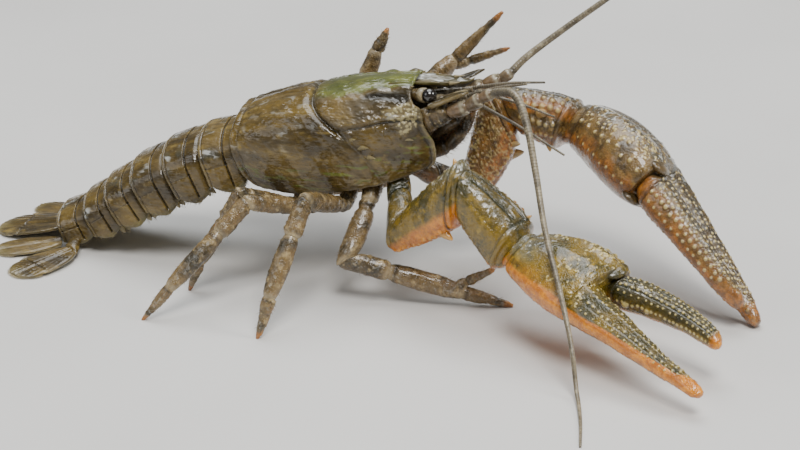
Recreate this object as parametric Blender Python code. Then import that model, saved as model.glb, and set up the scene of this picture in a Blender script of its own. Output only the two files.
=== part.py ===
"""A river crayfish standing on the floor, as separate closed solids.

Lengths in the tables are millimetres and the meshes are written in metres.
The animal faces +X, its right side is towards -Y, and the floor is z = 0.
Points on the body are given by their distance back from the tip of the beak,
their place to the side, and their height from the level of the highest point
of the back, square to the pitched body.
"""
import math

import bmesh
import bpy
import numpy as np

MM = 0.001
GAP = 0.15
BODY_PITCH = math.radians(14.0)
BEAK_TIP = (0.0, 0.0, 48.5)
TIP_BELOW_TOP = 5.0
CENTRE_SHIFT = (21.88, 16.12, 0.0)
MODEL_NAME = "crayfish"

FORWARD = np.array([math.cos(BODY_PITCH), 0.0, math.sin(BODY_PITCH)])
UPWARD = np.array([-math.sin(BODY_PITCH), 0.0, math.cos(BODY_PITCH)])

# The shield at stations back from the beak tip: half width, then the heights of its crest,
# widest line, margin and belly.
SHIELD_AT = (8.0, 13.0, 17.0, 20.0, 25.0, 30.0, 36.0, 42.0, 47.0, 52.0, 57.0)
SHIELD_HALF = (6.6, 8.6, 9.8, 10.6, 12.2, 13.2, 13.8, 14.0, 13.7, 12.8, 11.2)
SHIELD_CREST = (-2.8, -1.8, -1.0, -0.6, -0.15, 0.0, -0.4, -0.3, -0.8, -1.5, -2.6)
SHIELD_WIDEST = (-7.1, -8.7, -10.5, -11.3, -11.9, -12.0, -12.1, -11.7, -11.4, -10.9, -10.1)
SHIELD_MARGIN = (-19.6, -21.4, -22.2, -22.6, -22.9, -23.0, -22.9, -22.3, -21.2, -19.6, -17.0)
SHIELD_BELLY = (-8.1, -12.1, -16.3, -18.3, -19.8, -20.1, -20.0, -19.4, -18.3, -16.7, -14.1)
# Its front edge, the inner edge of its lip, the cross groove and the rear edge, at shares
# from the crest round to the margin.
EDGE_SHARE = (0.0, 0.18, 0.30, 0.42, 0.52, 0.60, 0.75, 0.90, 1.0)
FRONT_EDGE = (12.6, 12.8, 13.2, 12.7, 11.4, 11.4, 10.3, 11.0, 12.8)
INNER_EDGE = (12.6, 12.8, 13.2, 12.7, 11.4, 12.8, 15.2, 17.6, 19.6)
CROSS_GROOVE = (37.0, 36.2, 34.6, 31.6, 28.6, 26.4, 24.4, 23.6, 23.2)
REAR_EDGE = (55.2, 55.6, 56.2, 56.8, 57.0, 56.8, 56.0, 54.0, 51.5)
GROOVE_DEPTH = 0.6

# The keel of breast plates: station, top, bottom, half width above and below.
KEEL = (
    (18.6, -18.4, -21.6, 3.4, 2.4), (20.0, -18.9, -24.6, 4.2, 2.8), (25.0, -20.3, -26.6, 5.4, 3.2),
    (33.0, -20.6, -27.0, 6.2, 3.4), (41.0, -20.2, -26.6, 6.2, 3.2), (47.0, -18.9, -24.8, 5.2, 2.8),
    (50.5, -17.7, -21.4, 4.2, 2.4),
)
# The outer jaw legs: station, side and height of each joint, then the halves of each length.
JAW_LINE = ((18.45, 1.75, -20.0), (9.0, 2.25, -18.7), (4.0, 2.6, -15.2), (2.3, 2.2, -11.8))
JAW_HALVES = ((1.55, 1.9, 1.6, 1.7), (1.35, 1.5, 1.0, 1.1), (0.8, 0.9, 0.4, 0.45))
LIMB_STATION = {1: 21.6, 2: 27.2, 3: 33.0, 4: 38.6, 5: 44.0}

# A great claw 60 long: share of length, lateral reach, mesial reach, half thickness.
CLAW = (
    (0.000, 4.0, 4.0, 3.8), (0.020, 4.9, 5.2, 4.7), (0.070, 6.0, 7.4, 5.7), (0.140, 7.0, 10.2, 6.6),
    (0.220, 7.5, 12.5, 7.2), (0.300, 7.5, 13.7, 7.3), (0.360, 7.3, 13.6, 6.9), (0.400, 7.0, 12.9, 6.2),
    (0.412, 6.8, 4.4, 5.3), (0.500, 5.6, 3.7, 4.3), (0.620, 4.1, 3.1, 3.6), (0.740, 2.9, 2.6, 3.0),
    (0.850, 1.8, 2.3, 2.4), (0.930, 1.1, 2.4, 2.0), (0.980, 0.7, 2.7, 1.5), (1.000, 0.0, 2.3, 0.9),
)
CLAW_STATIONS = (0.0, 0.02, 0.05, 0.09, 0.14, 0.19, 0.24, 0.29, 0.34, 0.375, 0.4, 0.412, 0.45, 0.5, 0.55, 0.6,
                 0.65, 0.7, 0.75, 0.8, 0.85, 0.89, 0.93, 0.965, 0.985, 1.0)
# Its moving finger: share of length, half breadth, half thickness, outward bow.
FINGER = (
    (0.000, 3.1, 3.3, 0.0), (0.040, 3.6, 3.9, 0.1), (0.150, 3.7, 3.9, 0.6), (0.300, 3.4, 3.5, 1.2),
    (0.480, 3.0, 3.1, 1.4), (0.660, 2.6, 2.7, 1.1), (0.820, 2.2, 2.3, 0.5), (0.930, 1.9, 1.9, -0.3),
    (0.980, 1.5, 1.4, -0.8), (1.000, 0.9, 0.8, -1.1),
)
FINGER_STATIONS = (0.0, 0.04, 0.1, 0.17, 0.24, 0.31, 0.38, 0.45, 0.52, 0.59, 0.66, 0.73, 0.8, 0.87, 0.93, 0.975,
                   1.0)

# Joints from knee to tip, in the body's own world place before the centring shift.
RIGHT_CLAW = ((-12.8, -15.5, 16.5), (2.4, -20.3, 29.9), (15.0, -22.5, 18.3), (61.4, -57.6, 5.2))
LEFT_CLAW = ((-3.5, 12.0, 16.5), (3.2, 18.6, 35.7), (19.0, 19.0, 32.9), (68.0, -9.0, 0.6))
RIGHT_CLAW_UP = ((0.0, -0.5, 1.0), (-0.5, 0.2, 1.0), (0.6, -0.3, 1.0), (0.1, -0.25, 1.0))
LEFT_CLAW_UP = ((0.0, 0.5, 1.0), (-1.0, 0.0, 0.4), (0.4, 0.5, 1.0), (0.62, 0.23, 0.75))
# Root and tip of each moving finger, along the claw and to its inner side.
RIGHT_FINGER = ((24.7, 8.9), (50.8, 16.0))
LEFT_FINGER = ((25.4, 8.9), (56.3, 6.0))

# Knee, palm and foot of each walking leg, its half width and half height, and any free finger.
LEGS = {
    ("right", 2): (((-24.5, -19.0, 10.0), (1.5, -15.6, 3.4), (12.8, -13.2, 0.35)), (2.0, 2.3),
                   ((2.2, -14.6, 5.6), (8.8, -14.0, 9.4))),
    ("right", 3): (((-31.0, -30.0, 28.0), (-36.0, -41.0, 9.0), (-38.0, -44.0, 0.0)), (1.8, 2.1), None),
    ("right", 4): (((-46.0, -25.0, 24.0), (-60.0, -38.5, 7.5), (-65.7, -41.4, 0.0)), (1.6, 1.9), None),
    ("right", 5): (((-49.0, -21.0, 24.0), (-58.2, -23.2, 7.5), (-60.9, -23.5, 0.0)), (1.5, 1.8), None),
    ("left", 2): (((-24.0, 28.0, 30.0), (-13.5, 36.5, 40.0), (-2.2, 38.0, 52.4)), (2.0, 2.3),
                  ((-10.2, 37.3, 39.6), (0.2, 36.0, 44.3))),
    ("left", 3): (((-38.0, 27.0, 20.5), (-31.0, 29.5, 43.0), (-28.2, 30.0, 48.7)), (1.8, 2.1), None),
    ("left", 4): (((-46.0, 26.0, 27.0), (-50.0, 40.0, 8.0), (-51.5, 43.5, 0.0)), (1.6, 1.9), None),
    ("left", 5): (((-53.0, 20.0, 25.0), (-64.5, 29.0, 8.0), (-67.5, 31.5, 0.0)), (1.5, 1.8), None),
}
RAISED_FEET = {("right", 2), ("left", 2), ("left", 3)}

# The middle line of the tail, its half widths and heights by segment.
TAIL_LINE = ((-52.35, 28.1), (-61.6, 25.0), (-70.0, 20.9), (-77.8, 16.2), (-84.8, 11.6), (-91.0, 7.6),
             (-98.6, 4.2))
TAIL_HALF = (11.0, 11.4, 11.2, 10.6, 9.8, 8.8)
TAIL_HIGH = (7.2, 7.2, 6.9, 6.3, 5.6, 4.4)
# Where the outer blades of the fan start, and how far they point outward.
OUTER_BLADE = (-94.0, 13.2)
OUTER_TURN = 0.98

# The long feelers: points and half widths.
RIGHT_FEELER = (
    (-3.9, -7.1, 43.3), (0.8, -7.3, 45.4), (6.0, -8.0, 48.9), (11.0, -10.0, 50.3), (14.8, -14.0, 46.4),
    (19.1, -22.0, 37.4), (23.4, -31.0, 27.5), (29.9, -43.0, 17.0), (33.7, -50.0, 8.9), (36.3, -56.0, 1.2),
    (39.0, -66.0, 0.4), (41.0, -76.0, 0.3),
)
LEFT_FEELER = (
    (-3.9, 7.1, 43.3), (-0.8, 7.7, 44.2), (2.2, 8.4, 45.5), (5.6, 10.0, 47.0), (8.2, 12.0, 49.8),
    (16.2, 16.0, 56.3), (25.6, 20.0, 63.4), (34.9, 24.0, 70.5), (45.3, 28.0, 79.1), (55.0, 31.0, 86.0),
    (64.0, 34.0, 91.0), (73.0, 36.0, 95.0),
)
FEELER_HALF = (1.6, 1.4, 1.2, 1.0, 0.85, 0.8, 0.74, 0.66, 0.58, 0.5, 0.4, 0.3)


def unit(v):
    """The vector at length one."""
    v = np.asarray(v, float)
    return v / np.linalg.norm(v)


def on_body(back, side, height):
    """World position of a point given in the pitched body's terms."""
    base = np.array(BEAK_TIP) - FORWARD * back + UPWARD * (height + TIP_BELOW_TOP)
    return base + np.array([0.0, side, 0.0])


def raised_quad(points, quad, height, share, centre):
    """Faces and new points that put a small four-sided point on one quad."""
    corners = [np.asarray(points[i]) for i in quad]
    middle = sum(corners) / 4.0
    out = unit(np.cross(corners[2] - corners[0], corners[3] - corners[1]))
    if np.dot(out, middle - centre) < 0.0:
        out = -out
    first = len(points)
    for corner in corners:
        points.append(middle + (corner - middle) * share)
    points.append(middle + out * height)
    inner = [first, first + 1, first + 2, first + 3]
    faces = []
    for k in range(4):
        n = (k + 1) % 4
        faces.append((quad[k], quad[n], inner[n], inner[k]))
        faces.append((inner[k], inner[n], first + 4))
    return faces


def solid(name, rings, material, floor=False, hubs=None, knobs=None):
    """A closed body from rings of equal length, closed by a fan at each end.

    Knobs maps (ring, column) to (height, share of the quad) of a small raised point.
    """
    count = len(rings[0])
    points = [np.asarray(p, float) for ring in rings for p in ring]
    faces = []
    knobs = knobs or {}
    for i in range(len(rings) - 1):
        for j in range(count):
            k = (j + 1) % count
            quad = (i * count + j, i * count + k, (i + 1) * count + k, (i + 1) * count + j)
            if (i, j) in knobs:
                height, share = knobs[(i, j)]
                faces.extend(raised_quad(points, quad, height, share, np.mean(rings[i], axis=0)))
            else:
                faces.append(quad)
    last = (len(rings) - 1) * count
    for first, ring, place in ((0, rings[0], 0), (last, rings[-1], 1)):
        hub = len(points)
        points.append(np.mean(ring, axis=0) if hubs is None else np.asarray(hubs[place]))
        for j in range(count):
            faces.append((first + j, first + (j + 1) % count, hub))
    table = np.array(points) + np.array(CENTRE_SHIFT)
    if floor:
        table[:, 2] = np.maximum(table[:, 2], 0.0)
    mesh = bpy.data.meshes.new(name)
    mesh.from_pydata([tuple(p) for p in table * MM], [], faces)
    work = bmesh.new()
    work.from_mesh(mesh)
    bmesh.ops.remove_doubles(work, verts=work.verts, dist=1e-6)
    bmesh.ops.recalc_face_normals(work, faces=work.faces)
    work.to_mesh(mesh)
    work.free()
    mesh.materials.append(material)
    mesh.shade_smooth()
    mesh.set_sharp_from_angle(angle=math.radians(50.0))
    obj = bpy.data.objects.new(name, mesh)
    SHELF.objects.link(obj)
    return obj


def unite(obj, others):
    """Fuse other solids with one and drop them."""
    for other in others:
        joiner = obj.modifiers.new("join", "BOOLEAN")
        joiner.operation = "UNION"
        joiner.solver = "MANIFOLD"
        joiner.object = other
    bpy.context.view_layer.update()
    graph = bpy.context.evaluated_depsgraph_get()
    mesh = bpy.data.meshes.new_from_object(obj.evaluated_get(graph))
    obj.modifiers.clear()
    obj.data = mesh
    for other in others:
        bpy.data.objects.remove(other)
    return obj


def frame_for(direction, up):
    """Unit direction, and side and up vectors square to it, as near as can be to an up hint."""
    direction = unit(direction)
    up = np.asarray(up, float)
    up = unit(up - direction * np.dot(up, direction))
    return direction, np.cross(up, direction), up


def limb_rings(a, b, up, profile, sides=14, start=None, end=None, power=2.0, gaps=(GAP, GAP), flip=1.0,
               thin=0.0,
               fade=1.0):
    """Rings of a limb length between two joints.

    Each row of the profile is (share of length, half width, half height, side offset, up offset).
    The end planes follow the given normals, so that two lengths that meet at a bend lie
    face to face with a narrow gap, and their tilt dies out over the share named fade. Thin is
    the share of height that the outer edge loses, and flip turns the section round for the
    other side of the body.
    """
    a = np.asarray(a, float)
    b = np.asarray(b, float)
    length = np.linalg.norm(b - a)
    direction, side, up = frame_for(b - a, up)
    start = direction if start is None else unit(start)
    end = direction if end is None else unit(end)
    rings = []
    for u, half_w, half_h, off_w, off_h in profile:
        near, far = max(0.0, 1.0 - u / fade), max(0.0, 1.0 - (1.0 - u) / fade)
        ring = []
        for j in range(sides):
            angle = 2.0 * math.pi * j / sides
            c, s = math.cos(angle), math.sin(angle)
            x = math.copysign(abs(c) ** (2.0 / power), c)
            y = math.copysign(abs(s) ** (2.0 / power), s) * (1.0 - thin * max(0.0, -x))
            o = side * (flip * (x * half_w + off_w)) + up * (y * half_h + off_h)
            first = (gaps[0] - np.dot(o, start)) / np.dot(direction, start)
            last = (gaps[1] + np.dot(o, end)) / np.dot(direction, end)
            ring.append(a + o + direction * (u * length + first * near - last * far))
        rings.append(ring)
    return rings


def limb(name, a, b, up, profile, material, floor=False, knobs=None, **options):
    """A limb length as a named solid."""
    return solid(name, limb_rings(a, b, up, profile, **options), material, floor, knobs=knobs)


def bend(a, b, c):
    """Normal of the plane that halves the bend at b on the way from a to c."""
    return unit(unit(np.subtract(b, a)) + unit(np.subtract(c, b)))


def tapered(width_0, height_0, width_1, height_1, belly=1.08):
    """Profile of a plain limb length with rounded rims and a slight belly."""
    rows = [(0.0, width_0 * 0.82, height_0 * 0.82, 0.0, 0.0)]
    for u in (0.05, 0.3, 0.6, 0.95):
        swell = 1.0 + (belly - 1.0) * math.sin(math.pi * u)
        w = (width_0 + (width_1 - width_0) * u) * swell
        h = (height_0 + (height_1 - height_0) * u) * swell
        rows.append((u, w, h, 0.0, 0.0))
    rows.append((1.0, width_1 * 0.84, height_1 * 0.84, 0.0, 0.0))
    return rows


def spine(base, tip, half):
    """A four-sided thorn from a sunk base to its point, to be fused with its carrier."""
    base = np.asarray(base, float)
    tip = np.asarray(tip, float)
    hint = (0.0, 0.0, 1.0) if abs(unit(tip - base)[2]) < 0.8 else (1.0, 0.0, 0.0)
    rows = [(u, half * share, half * share, 0, 0) for u, share in ((0.0, 1.0), (0.55, 0.75), (1.0, 0.14))]
    return limb("thorn", base, tip, hint, rows, SHELL, sides=5, gaps=(0.0, 0.0))


def make_material(name, colour, roughness):
    """A plain Principled material."""
    mat = bpy.data.materials.new(name)
    mat.use_nodes = True
    shader = mat.node_tree.nodes["Principled BSDF"]
    shader.inputs["Base Color"].default_value = (*colour, 1.0)
    shader.inputs["Roughness"].default_value = roughness
    shader.inputs["Metallic"].default_value = 0.0
    return mat


for old in list(bpy.data.objects):
    bpy.data.objects.remove(old)
SHELF = bpy.data.collections.new(MODEL_NAME)
bpy.context.scene.collection.children.link(SHELF)

SHELL = make_material("olive_shell", (0.105, 0.090, 0.040), 0.30)
CLAW_SHELL = make_material("claw_shell", (0.160, 0.115, 0.030), 0.28)
LEG_SHELL = make_material("leg_shell", (0.230, 0.150, 0.070), 0.38)
UNDER_SHELL = make_material("under_shell", (0.330, 0.250, 0.140), 0.42)
EYE = make_material("eye", (0.008, 0.007, 0.006), 0.08)
FEELER = make_material("feeler", (0.130, 0.100, 0.070), 0.45)


def shield_point(share, back):
    """Place to the side and height of the shield at a share from the crest to the margin."""
    rows = (SHIELD_HALF, SHIELD_CREST, SHIELD_WIDEST, SHIELD_MARGIN)
    half, crest, middle, margin = [np.interp(back, SHIELD_AT, row) for row in rows]
    if share <= 0.55:
        angle = share / 0.55 * math.pi / 2.0
        return half * math.sin(angle) ** 0.92, middle + (crest - middle) * math.cos(angle) ** 0.86
    angle = (share - 0.55) / 0.45 * math.pi / 2.0
    return half * (0.80 + 0.20 * math.cos(angle) ** 0.9), middle + (margin - middle) * math.sin(angle) ** 0.95


def shield_back(share, t):
    """Distance back at a share and a step along: 0 front edge, 1 cross groove, 2 rear edge."""
    front, groove, rear = [np.interp(share, EDGE_SHARE, row) for row in (FRONT_EDGE, CROSS_GROOVE, REAR_EDGE)]
    return front + (groove - front) * t if t <= 1.0 else groove + (rear - groove) * (t - 1.0)


def build_shield():
    """The shield of head and thorax with its beak and thorns."""
    shares = np.linspace(0.0, 1.0, 15)
    steps = (-1.0, 0.0, 0.12, 0.28, 0.46, 0.64, 0.80, 0.93, 1.0, 1.06, 1.16, 1.32, 1.50, 1.68, 1.84, 1.96, 2.0,
             3.0)
    rings = []
    for t in steps:
        right = []
        for share in shares:
            back = shield_back(share, min(max(t, 0.0), 2.0))
            if t < 0.0:
                back = np.interp(share, EDGE_SHARE, INNER_EDGE)
            side, height = shield_point(share, back)
            if t == 1.0:
                side *= 1.0 - GROOVE_DEPTH / 13.0
                height -= GROOVE_DEPTH * max(0.0, 1.0 - share / 0.55)
            if t < 0.0 or t > 2.0:
                back += 2.2 if t < 0.0 else -0.9
                side *= 0.90 if t < 0.0 else 0.92
                height += 0.9 * math.copysign(min(abs(share - 0.55) * 4.0, 1.0), share - 0.55)
            right.append((back, side, height))
        back, side, height = right[-1]
        if 0.0 <= t < 1.0:
            back = INNER_EDGE[-1] + (CROSS_GROOVE[-1] - INNER_EDGE[-1]) * t
        belly = np.interp(back, SHIELD_AT, SHIELD_BELLY)
        right += [(back, side * 0.84, height + 1.6), (back, side * 0.60, belly - 0.3)]
        ring = [on_body(b, -s, h) for b, s, h in right] + [on_body(back, 0.0, belly)]
        rings.append(ring + [on_body(b, s, h) for b, s, h in reversed(right[1:])])
    body = solid("carapace", rings, SHELL, hubs=(on_body(16.6, 0.0, -12.0), on_body(51.5, 0.0, -12.0)))
    extras = [build_beak()]
    for sign in (-1.0, 1.0):
        extras.append(spine(on_body(15.2, sign * 4.9, -2.5), on_body(12.4, sign * 5.2, -2.6), 0.75))
        extras.append(spine(on_body(26.0, sign * 12.0, -13.0), on_body(23.6, sign * 13.2, -13.0), 0.7))
        extras.append(spine(on_body(17.0, sign * 8.8, -13.2), on_body(14.3, sign * 9.3, -13.6), 0.7))
    return unite(body, extras)


def build_beak():
    """The trough-shaped beak between the eyes, with a tooth on either side near its tip."""
    rows = (
        (0.0, 0.25, -4.75), (0.8, 0.55, -4.75), (2.2, 1.0, -4.55), (3.4, 1.45, -4.3), (3.9, 2.35, -4.15),
        (6.0, 2.5, -3.8), (9.0, 2.9, -3.1), (12.0, 3.3, -2.4), (16.0, 3.9, -1.6),
    )
    rings = []
    for back, w, height in rows:
        dip = min(w * 0.3, 0.7)
        lip = min(w * 0.5, 0.5)
        section = [
            (-w, 0.0), (-w * 0.8, 0.05), (-w * 0.45, -dip * 0.7), (0.0, -dip),
            (w * 0.45, -dip * 0.7), (w * 0.8, 0.05),
            (w, 0.0), (w * 0.92, -lip * 1.4), (w * 0.4, -lip * 2.4), (0.0, -lip * 3.0), (-w * 0.4, -lip * 2.4),
            (-w * 0.92, -lip * 1.4),
        ]
        rings.append([on_body(back, y, height + z) for y, z in section])
    return solid("beak", rings, SHELL)


def build_keel():
    """The keel of breast plates that the legs grow from."""
    rings = []
    for back, top, low, wide, narrow in KEEL:
        section = [(-wide, top), (0.0, top), (wide, top), (wide, top - 1.0), (narrow, low), (0.0, low - 0.3),
                   (-narrow, low), (-wide, top - 1.0)]
        rings.append([on_body(back, y, z) for y, z in section])
    return solid("breast_plates", rings, UNDER_SHELL)


def keel_side(back, sign):
    """A point just off the sloping flank of the keel, and the direction that the flank faces."""
    table = np.array(KEEL)

    def edges(at):
        top, low, wide, narrow = [np.interp(at, table[:, 0], table[:, i]) for i in (1, 2, 3, 4)]
        return on_body(at, sign * wide, top - 1.0), on_body(at, sign * narrow, low)

    high, low = edges(back)
    along = np.add(*edges(back - 1.2)) - np.add(*edges(back + 1.2))
    normal = unit(np.cross(along, high - low)) * -sign
    return (high + low) / 2.0 + normal * GAP, normal


def build_face():
    """The plates between antennae and mouth."""
    rows = ((15.35, -8.6, -17.0, 3.6), (12.5, -7.8, -16.6, 4.0), (10.0, -8.2, -14.5, 3.6),
            (8.6, -9.4, -12.6, 2.4))
    rings = []
    for back, top, low, wide in rows:
        middle, half = (top + low) / 2.0, (top - low) / 2.0
        turns = np.linspace(0.0, 2.0 * math.pi, 12, endpoint=False)
        rings.append([on_body(back, wide * math.cos(a), middle + half * math.sin(a)) for a in turns])
    return solid("face_plates", rings, UNDER_SHELL)


def build_eye(tag, sign):
    """One eye on its stalk."""
    root = on_body(14.5, sign * 3.0, -4.95)
    seat = on_body(10.9, sign * 4.2, -5.3)
    far = on_body(7.9, sign * 5.8, -5.4)
    plane = bend(root, seat, far)
    limb(f"eye_stalk_{tag}", root, seat, UPWARD, tapered(1.5, 1.4, 1.55, 1.5), LEG_SHELL, end=plane, sides=12)
    ball = [(0.0, 1.2, 1.2, 0.0, 0.0)]
    for u in (0.14, 0.3, 0.48, 0.66, 0.82, 0.94, 1.0):
        reach = math.sqrt(max(1.0 - ((u - 0.47) / 0.545) ** 2, 0.02))
        ball.append((u, 1.78 * reach, 1.78 * reach, 0.0, 0.0))
    limb(f"eye_{tag}", seat, far, UPWARD, ball, EYE, start=plane, sides=16)


def build_head_limbs(tag, sign):
    """Antennule, antenna base, antennal scale and outer jaw leg of one side."""
    a = on_body(12.6, sign * 1.7, -7.0)
    b = on_body(1.5, sign * 2.6, -7.6)
    base = limb(f"antennule_{tag}", a, b, UPWARD, tapered(1.2, 1.0, 0.9, 0.8), LEG_SHELL, sides=10)
    ends = ((12.0, -3.5, 52.0), (23.5, -11.0, 39.0)) if sign < 0.0 else ((15.0, 3.0, 50.5), (18.0, 4.5, 42.0))
    lashes = []
    for k, tip in enumerate(np.array(ends)):
        start = b - unit(tip - b) * 1.2 + UPWARD * (0.35 - 0.7 * k)
        rows = [(0.0, 0.42, 0.42, 0.0, 0.0), (0.5, 0.34, 0.34, 0.0, -0.5), (1.0, 0.25, 0.25, 0.0, -2.0)]
        lashes.append(limb("lash", start, tip, UPWARD, rows, FEELER, sides=6))
    unite(base, lashes)
    line = [on_body(back, sign * out, height) for back, out, height in JAW_LINE]
    joints = []
    for k, (wide, tall, wide_end, tall_end) in enumerate(JAW_HALVES):
        start = line[k] - unit(line[k + 1] - line[k]) * (1.0 if k else 0.0)
        rows = [(0.0, wide * 0.8, tall * 0.75, 0, 0), (0.12, wide, tall, 0, 0), (0.6, wide * 1.05, tall, 0, 0),
                (0.93, wide_end, tall_end, 0, 0), (1.0, wide_end * 0.75, tall_end * 0.75, 0, 0)]
        name = f"jaw_leg_{tag}" if k == 0 else "jaw_joint"
        joints.append(limb(name, start, line[k + 1], UPWARD, rows, LEG_SHELL, sides=8,
                           gaps=(0.0 if k else GAP, 0.0)))
    unite(joints[0], joints[1:])
    limb(f"antenna_base_{tag}", on_body(13.25, sign * 5.2, -11.2), on_body(5.4, sign * 7.1, -9.3), UPWARD,
         tapered(1.2, 2.5, 2.0, 2.1, 1.15), LEG_SHELL, sides=12)
    rows = [(0.0, 1.0, 0.5, 0.0, 0.0), (0.1, 1.6, 0.55, 0.0, 0.0), (0.5, 2.3, 0.55, -0.2, 0.0),
            (0.8, 1.5, 0.5, 0.4, 0.0), (0.9, 0.6, 0.4, 1.2, 0.0), (1.0, 0.25, 0.25, 1.3, 0.0)]
    limb(f"antennal_scale_{tag}", on_body(9.4, sign * 7.6, -7.0), on_body(-0.5, sign * 6.5, -5.0), UPWARD, rows,
         SHELL, sides=10, flip=sign)


def build_feeler(tag, points, halves):
    """The long feeler of one side in two lengths."""
    pts = [np.asarray(p, float) for p in points]
    middle = len(pts) // 2
    for part, first, last in (("root", 0, middle), ("whip", middle, len(pts) - 1)):
        rings = []
        for i in range(first, last + 1):
            along = pts[min(i + 1, len(pts) - 1)] - pts[max(i - 1, 0)]
            hint = (0.0, 0.0, 1.0) if abs(unit(along)[2]) < 0.9 else (1.0, 0.0, 0.0)
            direction, side, up = frame_for(along, hint)
            shift = GAP if i == first else -GAP if i == last and part == "root" else 0.0
            turns = np.linspace(0.0, 2.0 * math.pi, 8, endpoint=False)
            rings.append([pts[i] + direction * shift + (side * math.cos(a) + up * math.sin(a)) * halves[i]
                          for a in turns])
        solid(f"antenna_{part}_{tag}", rings, FEELER, floor=True)


def claw_arch(u):
    """How far the middle line of a claw stands above the line from wrist to tip."""
    return math.sin(math.pi * u ** 0.66)


def build_claw(tag, wrist, tip, dorsal, plane, finger, arch):
    """Palm with its fixed finger, and the moving finger, with their rows of knobs."""
    sign = 1.0 if tag == "right" else -1.0
    table = np.array(CLAW)
    k = np.linalg.norm(np.subtract(tip, wrist)) / 60.0
    rows = []
    for u in CLAW_STATIONS:
        lateral, mesial, thick = [np.interp(u, table[:, 0], table[:, i]) * k for i in (1, 2, 3)]
        half = max((lateral + mesial) / 2.0, 0.3)
        rows.append((u, half, thick, (mesial - lateral) / 2.0, arch * claw_arch(u)))
    knobs = {}
    for i in range(3, 9):
        knobs[(i, 0)] = (0.8, 0.55)
        knobs[(i, 2)] = (0.6, 0.45)
    for i in range(12, 22):
        knobs[(i, 1)] = (0.6, 0.5)
        if i % 2:
            knobs[(i, 19)] = (0.9, 0.5)
            knobs[(i, 4)] = (0.45, 0.4)
    limb(f"claw_palm_{tag}", wrist, tip, dorsal, rows, CLAW_SHELL, floor=True, knobs=knobs, sides=20,
         start=plane, power=2.3, flip=sign, thin=0.35, fade=0.3)
    direction, side, up = frame_for(np.subtract(tip, wrist), dorsal)
    root, end = [claw_arch(reach / 60.0) for reach, _ in finger]
    a, b = [np.asarray(wrist) + (direction * reach + side * sign * off) * k
            + up * arch * claw_arch(reach / 60.0) for reach, off in finger]
    extra = arch * (claw_arch((finger[0][0] + finger[1][0]) / 120.0) - (root + end) / 2.0)
    table = np.array(FINGER)
    rows = []
    for u in FINGER_STATIONS:
        half, thick, bow = [np.interp(u, table[:, 0], table[:, i]) * k for i in (1, 2, 3)]
        rows.append((u, half, thick, bow, extra * math.sin(math.pi * u)))
    knobs = {}
    for i in range(2, 14):
        knobs[(i, 1)] = (0.55, 0.5)
        if i % 2:
            knobs[(i, 15)] = (0.5, 0.5)
            knobs[(i, 8)] = (0.8, 0.5)
    limb(f"claw_finger_{tag}", a, b, up, rows, CLAW_SHELL, knobs=knobs, sides=16, start=direction, power=2.2,
         flip=sign)


def build_great_limb(tag, joints, ups, finger, arch):
    """One great claw limb from the keel to its fingers."""
    sign = 1.0 if tag == "right" else -1.0
    knee, elbow, wrist, tip = [np.asarray(p, float) for p in joints]
    root, flank = keel_side(LIMB_STATION[1], -sign)
    p1, p2, p3 = bend(root, knee, elbow), bend(knee, elbow, wrist), bend(elbow, wrist, tip)
    limb(f"claw_ischium_{tag}", root, knee, ups[0], tapered(2.5, 2.4, 3.4, 3.4), UNDER_SHELL, start=flank,
         end=p1)
    rows = [(0.0, 2.9, 3.0, 0, 0), (0.05, 3.5, 3.7, 0, 0), (0.2, 3.9, 4.2, 0, 0), (0.35, 4.3, 4.8, 0, 0),
            (0.5, 4.6, 5.3, 0, 0), (0.65, 4.9, 5.7, 0, 0), (0.8, 5.0, 6.0, 0, 0), (0.93, 5.0, 6.0, 0, 0),
            (1.0, 4.2, 5.0, 0, 0)]
    knobs = {(i, j): (0.9, 0.5) for i in range(1, 7) for j in (10, 13)}
    knobs[(6, 11)] = (1.9, 0.7)
    limb(f"claw_merus_{tag}", knee, elbow, ups[1], rows, CLAW_SHELL, knobs=knobs, start=p1, end=p2, sides=16,
         power=2.3, flip=sign)
    rows = [(0.0, 3.8, 3.9, 0, 0), (0.07, 4.6, 4.8, 0, 0), (0.22, 5.3, 5.3, 0.2, 0), (0.38, 5.9, 5.7, 0.4, 0),
            (0.55, 6.5, 6.0, 0.5, 0), (0.72, 6.9, 6.2, 0.6, 0), (0.92, 6.7, 6.2, 0.4, 0), (1.0, 5.4, 5.2, 0, 0)]
    knobs = {(i, j): (0.7, 0.5) for i in range(1, 6) for j in (0, 2)}
    knobs[(4, 0)] = (2.0, 0.8)
    limb(f"claw_carpus_{tag}", elbow, wrist, ups[2], rows, CLAW_SHELL, knobs=knobs, start=p2, end=p3, sides=16,
         power=2.3, flip=sign)
    build_claw(tag, wrist, tip, ups[3], p3, finger, arch)


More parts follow.
